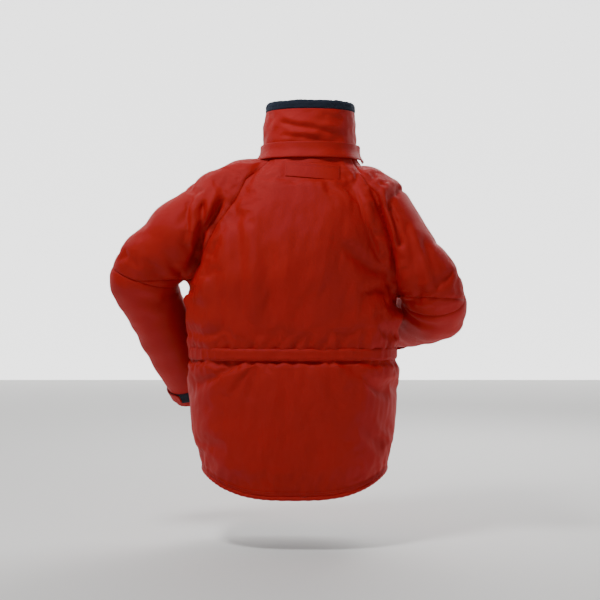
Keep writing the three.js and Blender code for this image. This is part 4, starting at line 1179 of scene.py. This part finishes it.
def collar_creases(degrees, z):
    """The collar's own pleats: diagonal ones across the back, and finer ones at its foot."""
    spots = np.stack([np.radians(degrees) * 100, z, z * 0], -1)
    shape = spots.reshape(-1, 3)
    back = np.radians(90) * 100
    push = -3.4 * crease(shape, [(back - 72, 72, 0), (back - 20, 58, 0), (back + 62, 42, 0)], 6)
    push += 2.8 * crease(shape, [(back - 66, 84, 0), (back - 12, 70, 0), (back + 66, 56, 0)], 8)
    push -= 2.6 * crease(shape, [(back - 66, 40, 0), (back - 10, 34, 0), (back + 40, 22, 0)], 6)
    push += 2.2 * crease(shape, [(back - 40, 48, 0), (back + 20, 40, 0)], 8)
    push -= 2.0 * crease(shape, [(back + 20, 88, 0), (back + 74, 74, 0)], 6)
    push += 1.7 * ripples(shape, (46, 22, 30), 70) + 0.8 * ripples(shape, (14, 14, 14), 71)
    edge = smooth((z.ravel() - 2) / 12) * smooth((COLLAR_RED - z.ravel()) / 10)
    return (push * edge).reshape(z.shape)


angles = edged(COLLAR_FROM, COLLAR_TO, 260, 3)
rows = edged(0.3, COLLAR_RED, 46, 4)
u, v = np.meshgrid(angles, rows)
bulge = 2 * np.sin(np.pi * v / COLLAR_RED) + collar_creases(u, v)
shoulder = rounded(angles, rows, 1.5, 3)
collar = slab(
    "collar_cloth", around, angles, rows, -COLLAR_WALL * shoulder ** 0.5, (bulge + 0.6) * shoulder,
    shell_cloth, "torso", ["collar"], scale=(1.8, 1),
)
print("collar", len(collar.data.vertices), "points")

# %% Fleece inside the collar, rolled over its top
profile = []  # offset from the collar's outline, and height, round the pile's section
for z in np.linspace(1, 96, 24):
    profile.append((-COLLAR_WALL - GAP - FLEECE, z))
for turn in np.linspace(180, -20, 22):
    profile.append((-5.4 + 6.4 * math.cos(math.radians(turn)), 110.5 + 10.6 * math.sin(math.radians(turn))))
for offset, z in ((1.4, 104), (0.6, 101.2), (-1.5, 100.6), (-4.6, 101)):
    profile.append((offset, z))
for z in np.linspace(98, 1, 24):
    profile.append((-COLLAR_WALL - GAP, z))
profile = np.array(profile)
turns = np.linspace(COLLAR_FROM, COLLAR_TO, 420)
rings = np.array([around(np.full(len(profile), t), profile[:, 1], profile[:, 0]) for t in turns])
shape, faces_of_roll = closed_tube(rings)
roll = mesh_object("fleece_roll", shape, faces_of_roll, fleece)
outs = normals_of(roll)
tufts = 0.55 * ripples(shape, (3.2, 3.2, 3.2), 80, 20) + 0.8 * ripples(shape, (16, 16, 9), 81)
soft_edge = smooth((shape[:, 2] - 98) / 6) * 0.8 + 0.2
move_vertices(roll, shape + outs * (tufts * soft_edge)[:, None])
settle(roll, "torso", ["fleece_collar_lining"])
print("fleece roll", len(roll.data.vertices), "points")

# %% The flap round the collar's foot
def flap_place(degrees, z, height):
    """The flap lies on the collar above its seam and leans out below it, most at its ends."""
    lean = smooth((12 - z) / 22) * 3.6
    ends = smooth((np.abs(degrees - 90) - 76) / 22) * np.where(degrees > 90, 1.0, 0.5)
    wave = 0.7 * np.sin(np.radians(degrees) * 11) * smooth((14 - z) / 20)
    droop = ends * -2.0 * smooth((16 - z) / 20)
    return around(degrees, z + droop, 1.0 + height + lean + wave + ends * 9)


angles, rows = edged(-13.5, 193.5, 150, 2.5), edged(-12, 25, 14, 2.5)
shoulder = rounded(angles, rows, 1.0, 2.0)
hood_flap = slab(
    "hood_flap_cloth", flap_place, angles, rows, 0.2 + 0 * shoulder, 0.4 + 2.3 * shoulder,
    shell_cloth, "torso", ["hood_flap"], scale=(1.9, 1),
)
runs = [offset_run(flap_place, np.linspace(-12, 192, 500), z, 2.6) for z in (21.5, -8.5)]
settle(stitches("hood_flap_stitches", runs), "torso")
print("hood flap", len(hood_flap.data.vertices), "points")

# %% Patch on the back
def patch_place(x, z, height):
    return across(x, z + 0.087 * (x - PATCH_X), height, is_back=True)


xs = edged(PATCH_X - PATCH_HALF_WIDTH, PATCH_X + PATCH_HALF_WIDTH, 30, 3)
rows = edged(PATCH_Z - PATCH_HALF_HEIGHT, PATCH_Z + PATCH_HALF_HEIGHT, 12, 3)
shoulder = rounded(xs, rows, 1.6, 1.6)
patch = slab(
    "back_patch_cloth", patch_place, xs, rows, -3.5 + 0 * shoulder, 0.5 + 1.6 * shoulder,
    shell_cloth, "torso", ["back_patch"],
)
along = np.linspace(PATCH_X - 58, PATCH_X + 58, 120)
down = np.linspace(PATCH_Z - 14, PATCH_Z + 14, 30)
runs = [offset_run(patch_place, along, z, 2.1) for z in (-29.5, -33)]
runs += [offset_run(patch_place, x, down, 2.1) for x in (-103.5, 13.5)]
settle(stitches("back_patch_stitches", runs), "torso")
print("back patch", len(patch.data.vertices), "points")

# %% [markdown]
# ## Waist channel, hem and lining
# The channel is a tube of cloth that the drawcord gathers, so its surface is puckered across and
# proud of the back. The hem is a rolled binding, slightly twisted, as rolled hems are. The lining
# hangs just behind the shell.

# %% Waist channel
angles = edged(-59.7, 239.7, 420, 1)
rows = edged(WAIST_Z - 14, WAIST_Z + 14, 14, 3)
u, v = np.meshgrid(angles, rows)
run, up = np.radians(u) * 190, (v - WAIST_Z) * 0.5
pucker = ripples_over(run, up, (9, 40, 10), 90) * 1.3 + ripples_over(run, up, (30, 40, 10), 91) * 0.8
shoulder = rounded(angles, rows, 0.7, 9)


def side_share(degrees):
    """1 at the jacket's two sides, where the channel lies flattest, and 0 across the back."""
    return smooth((np.abs(np.cos(np.radians(degrees))) - 0.62) / 0.3)


swell = 0.4 + shoulder * (5.0 + np.clip(pucker, -0.5, 1.7) - 2.4 * side_share(u))
channel = slab(
    "waist_channel_cloth", around, angles, rows, -3.5 + 0 * shoulder, swell,
    shell_cloth, "torso", ["waist_channel"], scale=(3.3, 1),
)
along = np.linspace(-58, 238, 900)
seat = 2.6 - 1.2 * side_share(along)
runs = [offset_run(around, along, WAIST_Z + z, seat) for z in (-12.4, 12.4)]
settle(stitches("waist_channel_stitches", runs), "torso")
print("waist channel", len(channel.data.vertices), "points")

# %% Hem binding
turns = np.linspace(-90 + 7.6, 270 - 7.6, 520)
line = around(turns, -BACK_LENGTH, -SHELL / 2)
line[:, 2] -= 4.2
twist = 0.35 * np.sin(np.arange(520) * 0.9) + 0.25 * ripples(line, (22, 22, 22), 95)
hem = tube(
    "hem_binding_roll", line, 5.0 + twist, binding_cloth, "torso", 14, False, ["hem_binding"],
)

runs = [offset_run(around, np.linspace(-82, 262, 900), -BACK_LENGTH + rise, 0.6) for rise in (5, 9)]
settle(stitches("hem_stitches", runs), "torso")
print("hem binding", len(hem.data.vertices), "points")

# %% Lining of the body
rows_z = np.arange(-746, 0, 9.0)
turns = np.linspace(-90 + 8.4, 270 - 8.4, 150)
grid = np.array([around(turns, z, -15.5) for z in [*rows_z, -2.0]])
spread_out = ripples(grid.reshape(-1, 3), (40, 40, 150), 97).reshape(grid.shape[:2])
centre = grid.mean(1, keepdims=True)
grid = grid + unit(grid - centre) * spread_out[..., None] * 1.5
flat_points = grid.reshape(-1, 3)
outs = unit(flat_points - np.repeat(centre, grid.shape[1], 1).reshape(-1, 3))
shape, shell = thickened(flat_points, grid_faces(grid.shape[0], grid.shape[1]), outs, 1.2)
lay = np.stack([np.tile(np.tile(turns, grid.shape[0]), 2) * 3.4, shape[:, 2]], -1)
lining = mesh_object("body_lining_cloth", shape, outward_faces(shape, shell), lining_cloth, lay)
settle(lining, "torso", ["body_lining"])
print("lining", len(lining.data.vertices), "points")

# %% Top-stitching along the seams
skin_tree = BVHTree.FromPolygons(grooved.tolist(), faces)


def cast_run(starts, direction):
    """A stitch line where parallel lines of sight meet the skin."""
    spots, outs = [], []
    for start in starts:
        hit, normal, _, _ = skin_tree.ray_cast(Vector(start), Vector(direction), 600)
        if hit is not None:
            spots.append(hit)
            outs.append(normal if normal.dot(Vector(direction)) < 0 else -normal)
    kernel = np.ones(5) / 5
    spots, outs = np.array(spots), np.array(outs)
    calm_spots = np.stack([np.convolve(spots[:, k], kernel, mode="valid") for k in range(3)], -1)
    return calm_spots, outs[2:-2]


runs = []
for arm in ARMS.values():
    sign = float(np.sign(arm["elbow"][0]))
    low = arm["seam"][0][0] + 12
    for distance in (5.5, 9.5):
        for facing in (1, -1):
            z = np.linspace(-26, low, 150)
            starts = np.stack([seam_at(arm, z) + sign * distance, 0 * z + 400 * facing, z], -1)
            runs.append(cast_run(starts, (0, -facing, 0)))
    for y_place in (5.5, -5.5):
        z = np.linspace(-350, -716, 150)
        starts = np.stack([0 * z + 262 * sign, 0 * z + y_place, z], -1)
        runs.append(cast_run(starts, (-sign, 0, 0)))
settle(stitches("seam_stitches", runs), "torso")
print("seam stitches", len(runs), "rows")

# %% [markdown]
# ## The front: zip, storm flap and snaps
# The zip is moulded: a row of teeth on each tape, ending in stops and a bottom box. Its teeth are
# drawn one by one, 3 mm apart, because a zip without teeth reads as a plain stripe. The slider
# and its pull are plated. The storm flap lies over them and closes with domed snap caps.


# %% Zip tapes and teeth
def zip_place(across_it, along, height):
    """A point by the zip's own directions; height stands off the front."""
    across_it, along, height = np.broadcast_arrays(across_it, along, height)
    return (
        ZIP_FOOT + across_it[..., None] * zip_across + along[..., None] * zip_up
        - height[..., None] * zip_in
    )


TEETH_DEPTH, TOOTH_PITCH = 2.6, 3.0
tape_start, tape_end = 2.0, zip_length - 8
for side, sign in (("left", 1), ("right", -1)):
    us = edged(4.2 * sign, 20.6 * sign, 8, 1.0)
    vs = edged(tape_start, tape_end, 200, 1.0)
    shoulder = rounded(us, vs, 0.8, 0.8)
    rise = -TEETH_DEPTH - 0.5 + 0.25 * shoulder
    tape = slab(
        f"{side}_zip_tape_cloth", zip_place, us, vs, -TEETH_DEPTH - 0.9, rise,
        tape_cloth, "torso", [f"{side}_zip_tape"],
    )
    starts = np.arange(14.6, zip_length - 14, TOOTH_PITCH) + (0.0 if sign > 0 else TOOTH_PITCH / 2)
    outline = [(4.7, -0.75), (2.4, -0.6), (1.6, -1.05), (0.9, -0.9), (0.75, 0.0)]
    outline += [(a, -b) for a, b in outline[3::-1]]
    shape = []
    for thick, shrink in ((-1.5, 0.82), (-1.15, 1.0), (1.15, 1.0), (1.5, 0.82)):
        ring = [((a - 2.7) * shrink + 2.7, b * shrink, -TEETH_DEPTH + thick) for a, b in outline]
        shape.append(ring)
    tooth = np.array(shape).reshape(-1, 3)
    sides = len(outline)
    tooth_faces = grid_faces(4, sides, closed=True)
    tooth_faces += [list(range(sides))[::-1], [3 * sides + k for k in range(sides)]]
    all_teeth = np.vstack([
        zip_place(tooth[:, 0] * sign, tooth[:, 1] + start, tooth[:, 2]) for start in starts
    ])
    teeth_faces = [[len(tooth) * k + i for i in f] for k in range(len(starts)) for f in tooth_faces]
    if sign > 0:
        teeth_faces = [f[::-1] for f in teeth_faces]
    teeth = mesh_object(f"{side}_zip_teeth", all_teeth, teeth_faces, acetal)
    settle(teeth, "torso", [f"{side}_zip_chain"])
    bevelled(f"{side}_zip_stop", f"{side}_zip_top_stop", acetal, "torso", 0.7)
bevelled("zip_box", "zip_bottom_box", acetal, "torso", 0.8)
bevelled("zip_slider_body", "zip_slider", nickel, "slider", 0.35)
bevelled("zip_pull", "zip_puller", nickel, "puller", 0.4)
print("zip teeth", len(starts), "a side")

# %% Storm flap, its root and the snaps
FLAP_STANDOFF, FLAP_THICK = 6.2, 3.5
flap_start, flap_end = 6.0, zip_length - 92
us, vs = edged(-35, 35, 22, 2.5), edged(flap_start, flap_end, 220, 3)
u, v = np.meshgrid(us, vs)
shoulder = rounded(us, vs, 2.5, 2.5)
wave = ripples_over(u, v, (60, 34, 10), 101) * 0.5
quilt = -0.7 * (np.exp(-(((np.abs(u) - 31) / 1.6) ** 2)) + np.exp(-(((u + 22) / 1.4) ** 2)))
storm = slab(
    "storm_flap_cloth", zip_place, us, vs, FLAP_STANDOFF + 1.6 * (1 - shoulder),
    FLAP_STANDOFF + 1.8 + (FLAP_THICK - 1.9 + wave * 0.5 + quilt) * shoulder,
    shell_cloth, "storm_flap", ["storm_flap"],
)
line = np.linspace(flap_start + 4, flap_end - 4, 600)
runs = [offset_run(zip_place, x, line, FLAP_STANDOFF + 3.0) for x in (-31, 31)]
settle(stitches("storm_flap_stitches", runs), "storm_flap")
us = edged(31, 35, 3, 0.8)
root = slab(
    "storm_flap_root_cloth", zip_place, us, edged(flap_start, flap_end, 120, 1), -9.0, 5.8,
    shell_cloth, "torso", ["storm_flap_root"],
)
DOME = [
    (0.6, 0), (5.4, 0), (6.0, 0.35), (5.9, 0.8), (5.2, 1.25), (4.6, 1.3), (4.2, 1.1), (3.6, 1.15),
    (2.4, 1.5), (1.0, 1.6), (0.1, 1.6),
]
POST = [
    (0.6, 0), (4.5, 0), (4.5, 9.0), (4.2, 9.6), (2.6, 9.8), (2.3, 10.6), (2.5, 11.2), (2.0, 11.8),
    (0.1, 11.9),
]
SNAP_ACROSS, SNAP_COUNT, SNAP_FROM_END = -27, 5, 24
CAP_HEIGHT, STUD_HEIGHT = 10.0, -6.0
for k in range(SNAP_COUNT):
    along = np.linspace(flap_start + SNAP_FROM_END, flap_end - SNAP_FROM_END, SNAP_COUNT)[k]
    for kind, shape, outline, height, body in (
        ("cap", "dome", DOME, CAP_HEIGHT, "storm_flap"), ("stud", "post", POST, STUD_HEIGHT, "torso")
    ):
        name = f"snap_{kind}_{k + 1}"
        seat = zip_place(np.float64(SNAP_ACROSS), along, np.float64(height))
        turned(f"{name}_{shape}", outline, seat, -zip_in, nickel, body, [name])
print("snaps", SNAP_COUNT)

# %% [markdown]
# ## Pockets and drawcord
# Each pocket is a pouch of the same cloth, sewn down on three sides and open under its flap, with
# enough depth for a hand. The flap hangs from its own seam and closes on hook and loop strips.


# %% Pockets
def front_place(x, z, height):
    return across(x, z, height, is_back=False)


POCKET_BOTTOM, POCKET_TOP, POCKET_DEPTH = -722.5, -547.6, 17
POCKET_NEAR, POCKET_FAR, POCKET_EDGE = 48, 158, 9
FLAP_HINGE, FLAP_HEM = POCKET_TOP + 16, POCKET_TOP - 54
for side, sign in (("left", 1), ("right", -1)):
    us = edged(POCKET_NEAR * sign, POCKET_FAR * sign, 40, POCKET_EDGE)
    foot = POCKET_BOTTOM + np.array([0, 1.1, 3.6])
    vs = np.concatenate([foot, np.linspace(POCKET_BOTTOM + POCKET_EDGE, POCKET_TOP, 52)])
    u, v = np.meshgrid(us, vs)
    du = np.minimum(np.abs(u) - POCKET_NEAR, POCKET_FAR - np.abs(u)) / POCKET_EDGE
    inside = np.clip(np.minimum(du, (v - POCKET_BOTTOM) / POCKET_EDGE), 0, 1)
    dome = (1 - (1 - inside) ** 3) ** 0.5
    slack = ripples_over(u, v, (26, 34, 10), 110)
    tuck = np.exp(-(((v - POCKET_BOTTOM - 22 - 5 * slack) / 4) ** 2)) * 1.6
    sunk = (1.2 + 1.0 * slack + tuck) * inside * smooth((POCKET_TOP - 40 - v) / 20)
    height = -2.5 + (POCKET_DEPTH + 2.5) * dome - sunk
    pouch = front_place(u, v, height).reshape(-1, 3)
    faces_of_pouch = grid_faces(len(vs), len(us))
    flat_mesh = mesh_object("pouch", pouch, faces_of_pouch, shell_cloth)
    outs = normals_of(flat_mesh)
    bpy.data.objects.remove(flat_mesh)
    if outs[:, 1].mean() > 0:
        outs, faces_of_pouch = -outs, [f[::-1] for f in faces_of_pouch]
    shape, shell = thickened(pouch, faces_of_pouch, outs, 2.4)
    lay = np.tile(np.stack([u, v], -1).reshape(-1, 2), (2, 1))
    pocket = mesh_object(f"{side}_pocket_cloth", shape, shell, shell_cloth, lay)
    settle(pocket, "torso", [f"{side}_pocket"])

    us = edged((POCKET_NEAR - 3) * sign, (POCKET_FAR + 3) * sign, 40, 2.5)
    vs = edged(FLAP_HEM, FLAP_HINGE, 30, 2.5)
    u, v = np.meshgrid(us, vs)
    shoulder = rounded(us, vs, 2.2, 2.2)
    fall_heights = [FLAP_HEM, POCKET_TOP - 2, POCKET_TOP + 4, FLAP_HINGE - 1.5, FLAP_HINGE]
    hang = np.interp(vs, fall_heights, [20.3, 20.3, 17.5, 1.2, -1.0])
    hang = np.convolve(np.pad(hang, 2, mode="edge"), np.ones(5) / 5, mode="valid")[:, None] + 0 * u
    sag = ripples_over(u, v, (34, 60, 10), 112)
    flap = slab(
        f"{side}_pocket_flap_cloth", front_place, us, vs, hang + 0.1,
        hang + 0.5 + (2.2 + 0.5 * sag) * shoulder,
        shell_cloth, f"{side}_pocket_flap", [f"{side}_pocket_flap"],
    )
    edge_x = np.linspace((POCKET_NEAR + 1) * sign, (POCKET_FAR - 1) * sign, 90)
    down = np.linspace(FLAP_HEM + 4, POCKET_TOP - 6, 60)
    runs = [offset_run(front_place, edge_x, FLAP_HEM + rise, 23.1) for rise in (4, 8)]
    runs += [offset_run(front_place, x, down, 23.1) for x in edge_x[[0, -1]]]
    settle(stitches(f"{side}_pocket_flap_stitches", runs), f"{side}_pocket_flap")

    us = edged((POCKET_NEAR + 8) * sign, (POCKET_FAR - 8) * sign, 16, 1)
    vs = edged(FLAP_HEM + 6, FLAP_HEM + 22, 6, 1)
    shoulder = rounded(us, vs, 0.8, 0.8)
    for kind, low, body in (("loop", 17.35, "torso"), ("hook", 18.85, f"{side}_pocket_flap")):
        strip = slab(
            f"{side}_pocket_{kind}_tape", front_place, us, vs, low, low + 0.5 + 0.6 * shoulder,
            hook_tape, body, [f"{side}_pocket_{kind}_strip"],
        )

# %% Drawcord and its locks
turns = np.linspace(-68, 248, 700)
line = around(turns, WAIST_Z, 3.0 - 2.3 * side_share(turns))
braid_wave = 0.10 * np.sin(np.arange(700) * 2.1)
tube("waist_cord", line, 1.3 + braid_wave, braid, "torso", 12, False, ["waist_drawcord"])
for side in ("left", "right"):
    bevelled(f"{side}_lock_body", f"{side}_cord_lock", acetal, "torso", 1.0)
    button = f"{side}_lock_button"
    bevelled(button, f"{side}_cord_lock_button", acetal, button, 0.6)


# %% Hanger loop
def hanger_place(t, z, height):
    slack = 14 * np.sin(np.pi * np.clip(t, 0.001, 0.999)) ** 0.6
    return across(-38 + 64 * (t - 0.5), z, -12.8 - slack + height, is_back=True)


ts, rows = edged(0, 1, 40, 0.02), edged(6, 14, 5, 1)
shoulder = rounded(ts, rows, 0.02, 0.8)
slab(
    "hanger_loop_tape", hanger_place, ts, rows, 0.3 * (1 - shoulder), 0.8 + 0.7 * shoulder,
    tape_cloth, "torso", ["hanger_loop"],
)

# %% [markdown]
# ## Cuffs
# A cuff ends in a rolled binding. Inside it a rib-knit cuff closes on the wrist, and outside it a
# tab with a hook end grips a dark loop patch on the back of the sleeve.


# %% Cuffs
def cuff_place(arm):
    straight = np.linalg.norm(arm["elbow"] - arm["cuff"]) - arm["reach"]
    outward = -unit(np.cross(arm["hinge"], arm["fore"]))
    side = unit(np.cross(arm["fore"], outward))
    side = side if side[1] > 0 else -side

    def place(degrees, back, height):
        degrees, back, height = np.broadcast_arrays(degrees, back, height)
        r = arm["cuff_r"] + (arm["fore_r"] - arm["cuff_r"]) * 2 * back / straight
        turn = np.radians(degrees)
        wide = (np.cos(turn) * (r + height))[..., None] * outward
        deep = (np.sin(turn) * (r * FLATNESS + height))[..., None] * side
        return arm["cuff"] - arm["fore"] * back[..., None] + wide + deep

    return place


TAB_START, TAB_END, TAB_SPAN, TAB_MIDDLE = -62, 43, (8, 38), 23  # degrees, and from the sleeve's end
for side, arm in ARMS.items():
    place = cuff_place(arm)
    forearm = f"{side}_forearm"
    us, vs = edged(TAB_START, TAB_END, 40, 2.2), edged(*TAB_SPAN, 14, 2.2)
    u, v = np.meshgrid(us, vs)
    shoulder = rounded(us, vs, 2.0, 2.0)
    rise = 1.1 + 1.0 * smooth((u - TAB_START) / 30)

    def tab_place(degrees, back, height):
        taper = 1 - 0.3 * smooth((degrees - 30) / 13) ** 2
        return place(degrees, TAB_MIDDLE + (back - TAB_MIDDLE) * taper, height)

    tab = slab(
        f"{side}_cuff_tab_cloth", tab_place, us, vs, rise, rise + 0.7 + 2.1 * shoulder,
        shell_cloth, f"{side}_tab", [f"{side}_cuff_tab"],
    )
    round_it = np.linspace(-57, 38, 90)
    runs = [offset_run(tab_place, round_it, back, 5.0) for back in (11.5, 34.5)]
    settle(stitches(f"{side}_cuff_tab_stitches", runs), f"{side}_tab")
    us, vs = edged(18, 84, 16, 1), edged(*TAB_SPAN, 8, 1)
    shoulder = rounded(us, vs, 0.9, 0.9)
    grip_patch = slab(
        f"{side}_cuff_loop_tape", place, us, vs, -3.0 + 0 * shoulder, 0.5 + 0.95 * shoulder,
        hook_tape, forearm, [f"{side}_cuff_loop_patch"],
    )
    turns = np.linspace(0, 360, 160, endpoint=False)
    line = place(turns, -3.4, -SHELL / 2)
    binding = tube(
        f"{side}_cuff_binding_roll", line, 3.5 + 0.18 * np.sin(np.arange(160) * 1.1), binding_cloth,
        forearm, 12, True, [f"{side}_cuff_binding"],
    )
    round_all = np.linspace(0, 360, 260)
    runs = [offset_run(place, round_all, 3.5, 0.2)]
    settle(stitches(f"{side}_cuff_stitches", runs), forearm)

    backs = np.linspace(5, 55, 26)
    turns = np.linspace(0, 360, 288, endpoint=False)
    u, v = np.meshgrid(turns, backs)
    narrowed = arm["cuff_r"] - 36
    ribs = 0.75 * np.cos(np.radians(u) * 48)
    height = np.interp(v, [5, 55], [3 - narrowed, -SHELL - 1.5]) - 1.0 + ribs
    grid = place(u, v, height).reshape(-1, 3)
    centre = np.repeat(place(turns, backs[:, None], 0 * v).mean(1), len(turns), 0)
    outs = unit(grid - centre)
    knit_faces = grid_faces(len(backs), len(turns), closed=True)
    shape, shell = thickened(grid, knit_faces, outs, 2.4)
    cuff = mesh_object(f"{side}_storm_cuff_knit", shape, outward_faces(shape, shell), knit)
    settle(cuff, forearm, [f"{side}_storm_cuff"])

# %% [markdown]
# ## Sizes and finish
# The box round the visible pieces is printed.

# %% Finish
low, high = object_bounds()
print("visual box", [round(v, 3) for v in low], [round(v, 3) for v in high])
